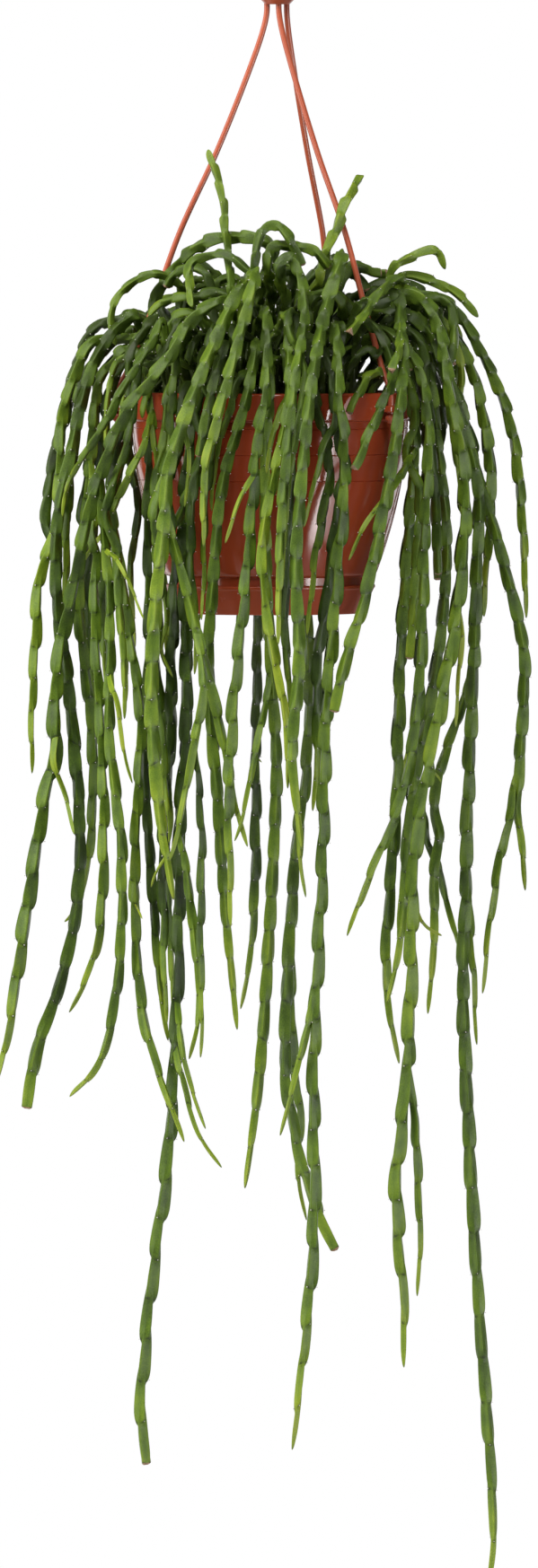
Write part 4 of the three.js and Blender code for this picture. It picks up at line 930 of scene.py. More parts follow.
def rings_on(line, sides, distances):
    """Places, sideways and cross directions at the given distances along a line."""
    shares = distances / line_length(line)
    places = uniform_curve(line, shares)
    reach = 0.5 / line_length(line)  # half a millimetre
    along = unit(uniform_curve(line, shares + reach) - uniform_curve(line, shares - reach))
    index = np.clip((distances / STEM.step).astype(int), 0, len(line) - 2)
    share = (distances / STEM.step - index)[:, None]
    side = mix(sides[index], sides[index + 1], share)
    side = unit(side - along * (side * along).sum(1, keepdims=True))
    return places, side, np.cross(along, side)


def section(angle, turn, power):
    """Radius of a rounded triangle with ribs at turn and every third of a circle from it."""
    faces = turn[:, None, None] + np.radians([60.0, 180.0, 300.0])
    toward = np.maximum(np.cos(angle[None, :, None] - faces), 0) ** power[:, None, None]
    radius = 0.5 / toward.sum(2) ** (1 / power[:, None])
    away_from_rib = np.cos(3 * (angle[None, :] - turn[:, None]))
    return radius * (1 - RIB.hollow * (0.5 - 0.5 * away_from_rib))


def ribness(angle, turn, power):
    """One on a rib, less the further from it."""
    third = 2 * math.pi / 3
    away = (angle[None, :] - turn[:, None] + third / 2) % third - third / 2
    return np.maximum(np.cos(1.5 * away), 0) ** power


def ring_faces(rings, corners, closed):
    """Quads between rings of corners, and from the last ring to the first where it is closed."""
    faces = []
    for ring in range(rings if closed else rings - 1):
        low = ring * corners
        high = (ring + 1) % rings * corners
        for corner in range(corners):
            after = (corner + 1) % corners
            faces.append((low + corner, low + after, high + after, high + corner))
    return faces


def tube_faces(rings, corners):
    """Quads between rings, and fans from the first and last ring to the ends' middles."""
    faces = ring_faces(rings, corners, closed=False)
    bottom = rings * corners
    last = bottom - corners
    for corner in range(corners):
        after = (corner + 1) % corners
        faces.append((bottom, after, corner))
        faces.append((bottom + 1, last + corner, last + after))
    return faces


class Tube:
    """Gathers rings of corners, faces and looks for the stems of one piece."""

    def __init__(self):
        self.places = []
        self.faces = []
        self.slots = []
        self.looks = {"look": [], "grain": []}
        self.count = 0

    def add(self, places, faces, look, grain, slot=0):
        self.faces.extend(tuple(corner + self.count for corner in face) for face in faces)
        self.slots.extend([slot] * len(faces))
        self.places.append(places)
        self.looks["look"].append(look)
        self.looks["grain"].append(grain)
        self.count += len(places)

    def piece(self, name, *materials):
        mesh = bpy.data.meshes.new(name)
        mesh.from_pydata(to_world(np.vstack(self.places)).tolist(), [], self.faces)
        for material in materials:
            mesh.materials.append(material)
        mesh.polygons.foreach_set("material_index", self.slots)
        mesh.polygons.foreach_set("use_smooth", [True] * len(self.faces))
        for label, values in self.looks.items():
            layer = mesh.color_attributes.new(label, "FLOAT_COLOR", "POINT")
            layer.data.foreach_set("color", np.vstack(values).ravel())
        mesh.update()
        return added(name, mesh)


def ends_in_crown(stem):
    return stem.line[-1, 2] > -RIB.crown_drop


def fine_girth(stem, distance, length, drop):
    """As thick as the solids' stems, but more so high up, and thick until nearer the tip."""
    end = STEM.end_share
    if stem.tip is None:
        end = RIB.crown_tip_share if ends_in_crown(stem) else RIB.tip_share
    taper = RIB.blunt_taper if stem.tip == "blunt" else RIB.taper
    share = np.interp(drop, RIB.girth_drops, RIB.girth_shares)
    return tapered(stem, distance, length, taper, end) * share


def note_forks(stems):
    """Tells every stem how far along it others grow out of it."""
    for stem in stems:
        stem.forks = []
    for stem in stems:
        if stem.parent >= 0:
            stems[stem.parent].forks.append(stem.fork * STEM.step)


def joint_places(stem, length, draw):
    """Distances along a stem where its links meet."""
    thick = mix(RIB.thin_share, 1, stem.girth / RIB.full_girth)
    joints = [0.0]
    while joints[-1] < length:
        step = min(int(joints[-1] / STEM.step), len(stem.line) - 1)
        link = np.interp(-stem.line[step, 2], RIB.drops, RIB.lengths) * thick
        joints.append(joints[-1] + link * (1 + RIB.length_play * (2 * next(draw) - 1)))
    if len(joints) > STEM.fewest_links + 1:
        joints.pop()
    joints = np.array(joints) * length / joints[-1]
    for fork in stem.forks:
        joints[np.argmin(np.abs(joints - fork))] = fork
    joints[0] = 0
    joints[-1] = length
    return np.unique(joints)


def stem_links(stem, length, draw):
    """Where a stem's links meet, and how each is turned, sized and toned and leans."""
    joints = joint_places(stem, length, draw)
    count = len(joints) - 1
    play = np.array([[next(draw) - 0.5 for _ in range(count)] for _ in range(5)]) * 2
    leans = np.zeros((2, count + 1))
    leans[:, 1:-1] = play[3:, 1:] * RIB.slant * stem.girth
    return SimpleNamespace(
        count=count, joints=joints, turns=np.arange(count) * math.pi / 3,
        spins=np.radians(play[0] * RIB.turn_play), girths=1 + play[1] * RIB.girth_play,
        tones=play[2], leans=leans,
    )


def closing_length(stem):
    return FRESH_TIP.closing * stem.girth if stem.tip is None else CUT_TIP.closing


def ring_distances(stem, joints, rings):
    """Distances along a stem of all its rings, its links' and its tip's."""
    whole = [mix(start, end, share) for start, end in zip(joints[:-1], joints[1:]) for share in rings]
    closing = closing_length(stem)
    ends = FRESH_TIP.rings if stem.tip is None else CUT_TIP.rings
    kept = [distance for distance in whole if distance < joints[-1] - closing]
    return np.array(kept + [joints[-1] - closing * share for share in ends])


def tip_closing(stem, distances, length):
    share = clamp01(1 - (length - distances) / closing_length(stem))
    least = FRESH_TIP.least if stem.tip is None else CUT_TIP.least
    return np.maximum(np.sqrt(1 - share**2), least)


def link_surface(links, owner, distances, angles, sharp):
    """Girth, nearness to a rib (painted as a highlight line on its crest), and darkness of a notch, for
    every corner of every ring.
    """
    power = mix(*RIB.corners, sharp)
    spans = np.diff(links.joints)
    total = np.zeros((len(distances), len(angles)))
    rib_highlight = np.zeros_like(total)
    for offset in (-1, 0, 1):
        index = owner + offset
        known = (index >= 0) & (index < links.count)
        index = np.clip(index, 0, links.count - 1)
        turn = links.turns[index]
        u = (distances - links.joints[index]) / spans[index]
        soft, crisp = (np.interp(u, *zip(*form), left=0, right=0) for form in (RIB.soft, RIB.sharp))
        height = mix(soft, crisp, sharp) * links.girths[index]
        if offset == 0:
            start = (index == 0) & (u < RIB.first_part)
            height = np.where(start, np.maximum(height, RIB.first_height), height)
            last = (index == links.count - 1) & (u > RIB.last_part)
            height = np.where(last, links.girths[index], height)
            across = mix(NOTCH.on_faces, 1, ribness(angles, turn, NOTCH.narrow))
            notch = np.exp(-(((u - NOTCH.place) / NOTCH.width) ** 2))[:, None] * across * sharp[:, None]
        height = np.where(known, height, 0)
        total += (section(angles, turn, power) * height[:, None]) ** RIB.blend
        # painted highlight: how near a rib's crest a corner is, which the skin paints lighter
        rib_highlight += ribness(angles, turn, RIB.crest) * (height**3)[:, None]
    return total ** (1 / RIB.blend), clamp01(rib_highlight), notch


def stem_tone(stem, tones, drop, fresh):
    tone = TONES[stem.tone]
    if not ends_in_crown(stem):
        tone = mix(min(tone, LOOK.dull_tone), tone, eased(drop, LOOK.dull_drops))
    # painted shade: darker tone in the crown
    tone = mix(LOOK.shade, 1, eased(drop, LOOK.shade_drops)) * tone
    tone = tone + LOOK.link_play * tones[0] + LOOK.stem_play * tones[1]
    tone = mix(tone, np.maximum(tone, LOOK.low_tone), eased(drop, LOOK.low_drops))
    tip_tone = LOOK.crown_tip_tone if ends_in_crown(stem) else LOOK.tip_tone
    return mix(tone, np.maximum(tone, tip_tone), fresh)


def ring_values(shape, *values):
    """Numbers for every corner of every ring and for both ends' middles."""
    columns = []
    for value in values:
        spread = value if np.ndim(value) == 2 else value[:, None]
        spread = np.broadcast_to(spread, shape)
        columns.append(np.concatenate([spread.ravel(), spread[0, :1], spread[-1, :1]]))
    return np.stack(columns, axis=1)


def add_stem(tube, stem, detail, draw):
    """One stem as a closed tube of links, with its areoles."""
    length = line_length(stem.line)
    links = stem_links(stem, length, draw)
    rooted = stem.parent < 0
    line = stem.line
    lead = 0.0
    distances = ring_distances(stem, links.joints, detail.rings)
    if rooted:
        for _ in range(RIB.sunk_points):
            line = np.vstack([2 * line[:1] - line[1:2], line])
        lead = RIB.sunk_points * STEM.step
        distances = np.concatenate([[-lead, -lead / 2], distances])
    sides = sides_along(line, stem.twist)
    places, side, cross = rings_on(line, sides, np.clip(distances + lead, 0, None))
    angles = np.radians([60 * sixth + offset for sixth in range(6) for offset in detail.sector])
    middles = (links.joints[1:] + links.joints[:-1]) / 2
    directions = angles + np.interp(distances, middles, links.spins)[:, None]

    drop = -places[:, 2]
    owner = np.searchsorted(links.joints, distances, side="right") - 1
    owner = np.clip(owner, 0, links.count - 1)
    sharp = mix(RIB.least_sharp, 1, eased(drop, RIB.sharp_drops))
    surface, rib_highlight, notch = link_surface(links, owner, distances, angles, sharp)
    girth = fine_girth(stem, np.clip(distances, 0, length), length, drop)
    radius = surface * girth[:, None] * tip_closing(stem, distances, length)[:, None]
    ring_x = (radius * np.cos(directions))[..., None] * side[:, None]
    ring_y = (radius * np.sin(directions))[..., None] * cross[:, None]
    rings = places[:, None] + ring_x + ring_y
    lean_x, lean_y = (np.interp(distances, links.joints, lean)[:, None] for lean in links.leans)
    slant = lean_x * np.cos(directions) + lean_y * np.sin(directions)
    rings += slant[..., None] * np.cross(side, cross)[:, None]
    corners = np.vstack([rings.reshape(-1, 3), places[:1], places[-1:]])

    whole = 1 if stem.tip is None else LOOK.cut_freshness
    fresh = smooth(1 - (length - distances) / LOOK.tip_length) * whole
    tone = stem_tone(stem, (links.tones[owner], links.tones[0]), drop, fresh)
    cut = np.where((stem.tip is not None) & (distances > length - CUT_TIP.closing), 1.0, 0.0)
    age = LOOK.crown_age * (1 - eased(drop, LOOK.crown_age_drops))
    if rooted:
        age = np.maximum(age, smooth(1 - distances / LOOK.old_length))
    look = ring_values(radius.shape, tone, fresh, rib_highlight, notch)
    around = np.sin(angles)[None] * np.ones((len(distances), 1))
    grain = ring_values(radius.shape, distances / LOOK.grain_length, cut, around, age)
    tube.add(corners, tube_faces(*radius.shape), look, grain)
    add_areoles(tube, stem, line, sides, lead, links, draw)


def add_areoles(tube, stem, line, sides, lead, links, draw):
    """A woolly speck at the ends of most of the ribs."""
    growth = AREOLE.least_share + AREOLE.girth_share * stem.girth
    flat = np.zeros((len(BLOB), 4))
    for index, (start, end) in enumerate(zip(links.joints[:-2], links.joints[1:-1])):
        distance = mix(start, end, AREOLE.place)
        place, side, cross = rings_on(line, sides, np.array([distance + lead]))
        girth = float(fine_girth(stem, distance, links.joints[-1], -place[0, 2])) * links.girths[index]
        lean_x, lean_y = links.leans[:, index + 1]
        for third in range(3):
            shown = next(draw)
            size = mix(*AREOLE.sizes, next(draw)) * growth
            angle = (links.turns + links.spins)[index] + third * 2 * math.pi / 3
            if shown > AREOLE.shown:
                continue
            across, up = math.cos(angle), math.sin(angle)
            outward = across * side[0] + up * cross[0]
            slant = (lean_x * across + lean_y * up) * np.cross(side[0], cross[0])
            middle = place[0] + outward * girth * AREOLE.height + slant
            tube.add(middle + BLOB * size, BLOB_FACES, flat, flat, slot=1)


# ---------------------------------------------------------------- meshes of the pot and hanger
FINE = SimpleNamespace(
    sides=176,
    grooves=(22.4, 38.6, 54.8),  # drops of the lines round the wall
    groove_depth=0.45,
    groove_width=0.9,
    wall_steps=14,
    neck_radius=62.4,
    lug_sides=56,
    lug_edge=0.7,  # how much its edges are broken
    lug_power=4,  # the higher, the squarer it is
    play=0.3,  # between the pot's parts
    hub_sides=72,
    neck_flare=1.5,
    hook_steps=120,
    hook_sides=20,
    strand_steps=150,
    strand_sides=18,
    askew=(0.31, 0.87, 0.41),  # a direction that no bar starts in
)


def rounded(corners, steps=4):
    """A closed outline from (radius, height, rounding) corners, each turned into a small arc."""
    outline = []
    for index, (radius, height, rounding) in enumerate(corners):
        here = np.array([radius, height], float)
        before = np.array(corners[index - 1][:2], float)
        after = np.array(corners[(index + 1) % len(corners)][:2], float)
        if rounding == 0:
            outline.append(here)
            continue
        start = here + unit(before - here) * min(rounding, np.linalg.norm(before - here) / 2)
        end = here + unit(after - here) * min(rounding, np.linalg.norm(after - here) / 2)
        for share in np.arange(steps + 1) / steps:
            outline.append(mix(mix(start, here, share), mix(here, end, share), share))
    return np.array(outline)


def circle(sides):
    """Evenly spaced angles once round."""
    return np.arange(sides) * 2 * math.pi / sides


def turned(outline, sides):
    """A closed outline turned round the vertical axis."""
    angles = circle(sides)
    radius = outline[:, :1]
    height = np.repeat(outline[:, 1:], sides, axis=1)
    corners = np.stack([radius * np.cos(angles), radius * np.sin(angles), height], axis=2)
    return corners.reshape(-1, 3), ring_faces(len(outline), sides, closed=True)


def swept(line, radius, sides):
    """A closed round bar along a line."""
    along = directions_along(line)
    across = unit(np.cross(along[0], FINE.askew))
    angles = circle(sides)
    rings = []
    for place, direction in zip(line, along):
        across = unit(across - direction * (across @ direction))
        other = np.cross(direction, across)
        rings.append(place + radius * (np.outer(np.cos(angles), across) + np.outer(np.sin(angles), other)))
    faces = ring_faces(len(line), sides, closed=False)
    faces.append(tuple(reversed(range(sides))))
    faces.append(tuple((len(line) - 1) * sides + corner for corner in range(sides)))
    return np.vstack(rings), faces


def ball(centre, radius, sides=28, rings=16):
    angles = np.linspace(-math.pi / 2, math.pi / 2, rings)
    outline = np.stack([radius * np.cos(angles), radius * np.sin(angles)], axis=1)
    outline[[0, -1], 0] = 0
    corners, faces = turned(outline, sides)
    return corners + np.asarray(centre), faces


def solid_piece(name, parts, material, crease=32.0):
    """One piece from several closed (corners, faces) parts, smooth but for its sharp edges."""
    shape = bmesh.new()
    for corners, faces in parts:
        made = [shape.verts.new(place) for place in to_world(corners).tolist()]
        for face in faces:
            shape.faces.new([made[corner] for corner in face])
    bmesh.ops.remove_doubles(shape, verts=shape.verts, dist=MERGE / 1000)
    bmesh.ops.recalc_face_normals(shape, faces=shape.faces)
    mesh = bpy.data.meshes.new(name)
    shape.to_mesh(mesh)
    shape.free()
    mesh.polygons.foreach_set("use_smooth", [True] * len(mesh.polygons))
    mesh.set_sharp_from_angle(angle=math.radians(crease))
    mesh.materials.append(material)
    return added(name, mesh)


# ---------------------------------------------------------------- pot, saucer and peat
def wall_outline():
    """The wall's outside from the band down to the waist, with its three fine lines."""
    drops = [POT.band_drop + POT.step]
    for groove in FINE.grooves:
        drops.extend([groove - FINE.groove_width / 2, groove, groove + FINE.groove_width / 2])
    start = FINE.grooves[-1] + FINE.groove_width
    drops.extend(mix(start, POT.waist_drop, share) for share in np.linspace(0, 1, FINE.wall_steps))
    depths = [FINE.groove_depth if drop in FINE.grooves else 0 for drop in drops]
    return [(wall_radius(drop) - depth, -drop, 0) for drop, depth in zip(drops, depths)]


def make_pot(material):
    wall = wall_outline()
    inner = [(radius - POT.wall, height, 0) for radius, height, _ in wall if height < -POT.band_drop]
    corners = [
        (POT.rim_radius - POT.edge, 0, 0.8),
        (POT.rim_radius, -POT.edge, 0.8),
        (POT.rim_radius, -POT.band_drop, 0.9),
        (POT.shoulder_radius, -POT.band_drop - POT.step, 0.5),
        *wall[1:-1],
        (POT.waist_radius, -POT.waist_drop, 3.0),
        (FINE.neck_radius, -POT.waist_drop - POT.step, 0.4),
        (FINE.neck_radius, -POT.neck_drop, 0.5),
        (POT.foot_radius, -POT.foot_drop, 1.0),
        (POT.stud_hole, -POT.foot_drop, 0),
        (POT.stud_hole, -POT.foot_drop + POT.wall, 0),
        (POT.foot_radius - POT.wall, -POT.foot_drop + POT.wall, 1.0),
        (POT.neck_radius - POT.wall, -POT.neck_drop + POT.wall, 0.5),
        (POT.neck_radius - POT.wall, -POT.waist_drop + POT.wall, 0.5),
        *reversed(inner[:-1]),
        (POT.shoulder_radius - POT.wall, -POT.band_drop, 0.5),
        (POT.shoulder_radius - POT.wall, 0, 0.8),
    ]
    parts = [turned(rounded(corners), FINE.sides)]
    parts.extend(lug(azimuth) for azimuth in STRANDS.values())
    return solid_piece("pot_shell", parts, material)


def lug(azimuth):
    """A rounded plate on the band, with the hole for a strand's foot."""
    angles = circle(FINE.lug_sides)
    outward = np.maximum(np.cos(angles), 0) / (EAR.outer - EAR.ring)
    inward = np.maximum(-np.cos(angles), 0) / (EAR.ring - EAR.inner)
    aside = np.abs(np.sin(angles)) / (EAR.width / 2)
    power = FINE.lug_power
    edge = (outward**power + inward**power + aside**power) ** (-1 / power)
    hole = np.full_like(edge, EAR.hole_radius)
    soft = FINE.lug_edge
    low = EAR.top - EAR.thick
    levels = [
        (hole, 0, low + soft), (hole, 0, EAR.top - soft), (hole, soft, EAR.top),
        (edge, -soft, EAR.top), (edge, 0, EAR.top - soft), (edge, 0, low + soft),
        (edge, -soft, low), (hole, soft, low),
    ]
    turn = math.radians(azimuth)
    cos, sin = math.cos(turn), math.sin(turn)
    rings = []
    for reach, shift, height in levels:
        x = EAR.ring + (reach + shift) * np.cos(angles)
        y = (reach + shift) * np.sin(angles)
        rings.append(np.stack([x * cos - y * sin, x * sin + y * cos, np.full_like(x, height)], axis=1))
    return np.vstack(rings), ring_faces(len(levels), len(angles), closed=True)


def make_saucer(material):
    floor_top = -SAUCER.base_drop + SAUCER.floor
    lip = SAUCER.rim_drop + SAUCER.lip_height
    head = -POT.foot_drop + POT.wall + FINE.play
    corners = [
        (0, -SAUCER.base_drop, 0),
        (SAUCER.base_radius - 6, -SAUCER.base_drop, 0.3),
        (SAUCER.base_radius - 5, -SAUCER.base_drop, 0.3),
        (SAUCER.base_radius, -SAUCER.base_drop, 0.9),
        (SAUCER.rim_radius - SAUCER.lip_depth, -lip - SAUCER.lip_depth, 0.4),
        (SAUCER.rim_radius, -lip, 0.7),
        (SAUCER.rim_radius, -SAUCER.rim_drop, 1.1),
        (SAUCER.rim_radius - SAUCER.wall, -SAUCER.rim_drop, 0.6),
        (SAUCER.base_radius - SAUCER.wall / 2, floor_top, 1.2),
        (STUD.radius, floor_top, 0.5),
        (STUD.radius, head, 0.3),
        (STUD.head_radius, head, 0.4),
        (STUD.radius, head + STUD.head_height, 0.6),
        (0, head + STUD.head_height, 0),
    ]
    return solid_piece("saucer_dish", [turned(rounded(corners), FINE.sides)], material)


PEAT = SimpleNamespace(
    sides=150,
    rings=44,
    lumps=((0.035, 2.4), (0.11, 1.3), (0.3, 0.7)),  # (waves per mm, height) of its unevenness
    edge_gap=0.5,  # between it and the pot's wall
    low_gap=2.0,
    wall_drops=(92, 70, 48, 30),
    middle_rise=12,  # over the underside of the pot's floor, as the next
    foot_rise=4,
    edge_low=4,  # how far its side is straight below the band
)
# Each range says how far a fibre's length, bend, girth and lift differ from one to the next.
FIBRE = SimpleNamespace(
    count=420, field=82, steps=5, length=(4, 20), bend=(-0.25, 0.25), girth=(0.12, 0.32),
    lift=(0.1, 1.6), sides=5,
)


def peat_height(x, y):
    rise = sum(height * noise.noise((x * rate, y * rate, rate)) for rate, height in PEAT.lumps)
    return soil_height(math.hypot(x, y)) + rise


def make_peat(material):
    edge = POT.shoulder_radius - POT.wall - PEAT.edge_gap
    low = PEAT.low_gap + POT.wall
    below = [
        (0, -POT.foot_drop + PEAT.middle_rise),
        (POT.foot_radius - low, -POT.foot_drop + PEAT.foot_rise),
        (POT.neck_radius - low, -POT.waist_drop),
        *[(wall_radius(drop) - low, -drop) for drop in PEAT.wall_drops],
        (edge, -POT.band_drop - PEAT.edge_low),
    ]
    outline = np.array(below + [(edge * share, 0.0) for share in np.linspace(1, 0, PEAT.rings)])
    corners, faces = turned(outline, PEAT.sides)
    for corner in corners[len(below) * PEAT.sides :]:
        corner[2] = peat_height(corner[0], corner[1])
    return solid_piece("peat_surface", [(corners, faces)], material, crease=180)


def make_peat_fibres(material, draw):
    """Fibres and shreds that lie on the peat."""
    parts = []
    for _ in range(FIBRE.count):
        radius = FIBRE.field * math.sqrt(next(draw))
        turn = 2 * math.pi * next(draw)
        heading = 2 * math.pi * next(draw)
        length = mix(*FIBRE.length, next(draw) ** 2)
        bend = mix(*FIBRE.bend, next(draw))
        girth = mix(*FIBRE.girth, next(draw))
        lift = mix(*FIBRE.lift, next(draw) ** 2)
        x = radius * math.cos(turn)
        y = radius * math.sin(turn)
        line = []
        for step in range(FIBRE.steps + 1):
            if math.hypot(x, y) > FIBRE.field:
                break
            rise = lift * math.sin(step / FIBRE.steps * math.pi)
            line.append((x, y, peat_height(x, y) + girth / 2 + rise))
            heading += bend
            x += length / FIBRE.steps * math.cos(heading)
            y += length / FIBRE.steps * math.sin(heading)
        if len(line) > 2:
            parts.append(swept(np.array(line), girth, FIBRE.sides))
    return solid_piece("peat_fibres", parts, material, crease=60)


# ---------------------------------------------------------------- hanger
def make_hub(material):
    top = HUB.base + HUB.height
    corners = [
        (0, HUB.base, 0),
        (HUB.radius - HUB.chamfer, HUB.base, 0.5),
        (HUB.radius, HUB.base + HUB.chamfer, 0.8),
        (HUB.radius, top - HUB.top_chamfer, 0.8),
        (HUB.radius - HUB.top_chamfer, top, 0.8),
        (HUB.neck_radius + FINE.neck_flare, top, 0.8),
        (HUB.neck_radius, top + HUB.neck_height, 1.0),
        (0, top + HUB.neck_height, 0),
    ]
    body, faces = turned(rounded(corners), FINE.hub_sides)
    line = curve_points(hook_points(), np.linspace(0, 1, FINE.hook_steps))
    hook = swept(line, HOOK.wire, FINE.hook_sides)
    parts = [(body + np.array([HUB.offset, 0, 0]), faces), hook, ball(line[-1], HOOK.ball_radius)]
    return solid_piece("hook_and_hub_body", parts, material)


def hook_points():
    centre = HOOK.hanging_point - HOOK.bend + HOOK.wire
    angles = [math.radians(degrees) for degrees in HOOK.turn]
    bend = HOOK.rise + [(math.cos(angle), math.sin(angle)) for angle in angles]
    points = [(HOOK.bend * across, centre + HOOK.bend * up) for across, up in bend]
    return [(HUB.offset + x, 0, z) for x, z in [(0, HUB.base + HUB.height - HOOK.wire), *points]]


# How far to the right a strand is, against the straight way: at the hub and over the crown.
STRAND_BOWS = {"left": (0.0, 0.0), "front": (-3.9, -0.8), "back": (3.0, 3.0)}
BOW_HEIGHTS = (40, 100)


def make_strand(name, azimuth, material):
    points = [strand_point(azimuth, place) for place in STRAND_LINE]
    line = curve_points(points, np.linspace(0, 1, FINE.strand_steps))
    at_hub, at_crown = STRAND_BOWS[name]
    line[:, 0] += np.interp(line[:, 2], (*BOW_HEIGHTS, HUB.base), (0, at_crown, at_hub))
    foot = strand_point(azimuth, STRAND_LINE[-1])
    foot[2] = EAR.top - EAR.thick - FINE.play - STRAND.knob_radius
    rod = swept(line, STRAND.radius, FINE.strand_sides)
    return solid_piece(name + "_cord_rod", [rod, ball(foot, STRAND.knob_radius)], material)


# ---------------------------------------------------------------- materials
class Shader:
    """A principled material whose nodes are made and linked by short calls."""

    def __init__(self, name, **values):
        self.material = bpy.data.materials.new(name)
        self.material.use_nodes = True
        self.tree = self.material.node_tree
        self.set(**values)

    def set(self, **values):
        """Feeds the surface's sockets, whose names have underscores here for their spaces."""
        for socket, value in values.items():
            self.feed(self.tree.nodes["Principled BSDF"], socket.replace("_", " "), value)

    def feed(self, node, socket, value):
        if isinstance(value, bpy.types.NodeSocket):
            self.tree.links.new(value, node.inputs[socket])
        elif isinstance(value, tuple) and len(value) == 3 and node.inputs[socket].type == "RGBA":
            node.inputs[socket].default_value = (*value, 1)
        else:
            node.inputs[socket].default_value = value

    def node(self, kind, inputs, **settings):
        node = self.tree.nodes.new(kind)
        for name, value in settings.items():
            setattr(node, name, value)
        for socket, value in inputs.items():
            self.feed(node, socket, value)
        return node

    def attribute(self, name):
        """The red, green, blue and alpha numbers of a colour attribute."""
        source = self.node("ShaderNodeAttribute", {}, attribute_name=name)
        split = self.node("ShaderNodeSeparateColor", {"Color": source.outputs["Color"]})
        return (*(split.outputs[index] for index in range(3)), source.outputs["Alpha"])

    def here(self):
        return self.node("ShaderNodeTexCoord", {}).outputs["Object"]

    def stretched(self, vector, scale):
        node = self.node("ShaderNodeMapping", {"Vector": vector, "Scale": scale})
        return node.outputs["Vector"]

    def combined(self, x, y, z):
        return self.node("ShaderNodeCombineXYZ", {"X": x, "Y": y, "Z": z}).outputs["Vector"]

    def noise(self, vector, scale, detail=3.0, roughness=0.55):
        inputs = {"Vector": vector, "Scale": scale, "Detail": detail, "Roughness": roughness}
        return self.node("ShaderNodeTexNoise", inputs).outputs["Fac"]

    def ramp(self, factor, *stops):
        node = self.node("ShaderNodeValToRGB", {"Fac": factor})
        elements = node.color_ramp.elements
        while len(elements) < len(stops):
            elements.new(0.5)
        for element, (position, color) in zip(elements, stops):
            element.position = position
            element.color = (*color, 1) if isinstance(color, tuple) else (color, color, color, 1)
        return node.outputs["Color"]

    def blended(self, factor, one, two):
        node = self.node("ShaderNodeMix", {}, data_type="RGBA")
        for socket, value in ((0, factor), (6, one), (7, two)):
            self.feed(node, socket, value)
        return node.outputs[2]

    def sum(self, one, two, how="ADD"):
        return self.node("ShaderNodeMath", {0: one, 1: two}, operation=how).outputs[0]

    def scaled(self, value, share):
        return self.sum(value, share, "MULTIPLY")

    def ranged(self, value, low, high, new_low, new_high):
        inputs = {"Value": value, 1: low, 2: high, 3: new_low, 4: new_high}
        return self.node("ShaderNodeMapRange", inputs).outputs[0]

    def bump(self, height, strength, distance, normal=None):
        inputs = {"Height": height, "Strength": strength, "Distance": distance}
        if normal is not None:
            inputs["Normal"] = normal
        return self.node("ShaderNodeBump", inputs).outputs["Normal"]


def stem_skin():
    shader = Shader("stem_skin", Specular_IOR_Level=0.36)
    tone, tip, rib_highlight, notch = shader.attribute("look")
    along, scar, around, old = shader.attribute("grain")
    here = shader.here()
    patches = shader.noise(here, 55.0, 2.0)
    lines = shader.noise(shader.combined(shader.scaled(along, 6.0), around, rib_highlight), 9.0, 4.0, 0.6)
    fine = shader.noise(here, 900.0, 3.0)
    level = shader.sum(tone, shader.ranged(patches, 0.3, 0.7, -0.12, 0.12))
    level = shader.sum(level, shader.scaled(tip, 0.13))
    level = shader.sum(level, shader.ranged(lines, 0.3, 0.7, -0.15, 0.15))
    # painted highlight: lighter colour along the ribs' crests
    level = shader.sum(level, shader.scaled(rib_highlight, 0.17))
    green = shader.ramp(
        level,
        (0.0, (0.012, 0.023, 0.002)),
        (0.3, (0.041, 0.080, 0.006)),
        (0.55, (0.106, 0.187, 0.012)),
        (0.8, (0.215, 0.318, 0.019)),
        (1.0, (0.34, 0.42, 0.03)),
    )
    brown = shader.blended(shader.scaled(notch, 0.92), green, (0.014, 0.019, 0.005))
    aged = shader.blended(shader.scaled(old, 0.55), brown, (0.072, 0.088, 0.022))
    cut = shader.ramp(fine, (0.3, (0.20, 0.10, 0.05)), (0.7, (0.55, 0.36, 0.24)))
    shader.set(
        Base_Color=shader.blended(scar, aged, cut),
        Roughness=shader.ranged(fine, 0.3, 0.7, 0.36, 0.5),
        Normal=shader.bump(fine, 0.15, 0.0002, shader.bump(lines, 0.35, 0.0006)),
    )
    return shader.material


def speckled(name, scale, dark, light, roughness):
    shader = Shader(name, Roughness=roughness)
    spots = shader.noise(shader.here(), scale)
    shader.set(Base_Color=shader.ramp(spots, (0.3, dark), (0.7, light)))
    return shader.material


def moulded(name, dark, light, roughness, specular=0.5):
    """Glossy moulded plastic: a slight swirl in its colour and a faint unevenness."""
    shader = Shader(name, Specular_IOR_Level=specular)
    here = shader.here()
    swirl = shader.noise(shader.stretched(here, (1.0, 1.0, 0.35)), 22.0, 3.0)
    smudges = shader.noise(here, 60.0, 4.0)
    waves = shader.bump(shader.noise(here, 14.0, 2.0), 0.05, 0.004)
    specks = shader.noise(here, 1400.0, 2.0)
    shader.set(
        Base_Color=shader.ramp(swirl, (0.3, dark), (0.7, light)),
        Roughness=shader.ranged(smudges, 0.3, 0.75, roughness, roughness + 0.12),
        Normal=shader.bump(specks, 0.04, 0.0001, waves),
    )
    return shader.material


def peat_crumb():
    shader = Shader("peat", Roughness=0.95)
    crumbs = shader.noise(shader.here(), 260.0, 6.0, 0.7)
    browns = (0.25, (0.008, 0.005, 0.003)), (0.55, (0.03, 0.019, 0.012)), (0.8, (0.085, 0.055, 0.032))
    shader.set(Base_Color=shader.ramp(crumbs, *browns), Normal=shader.bump(crumbs, 0.9, 0.0015))
    return shader.material


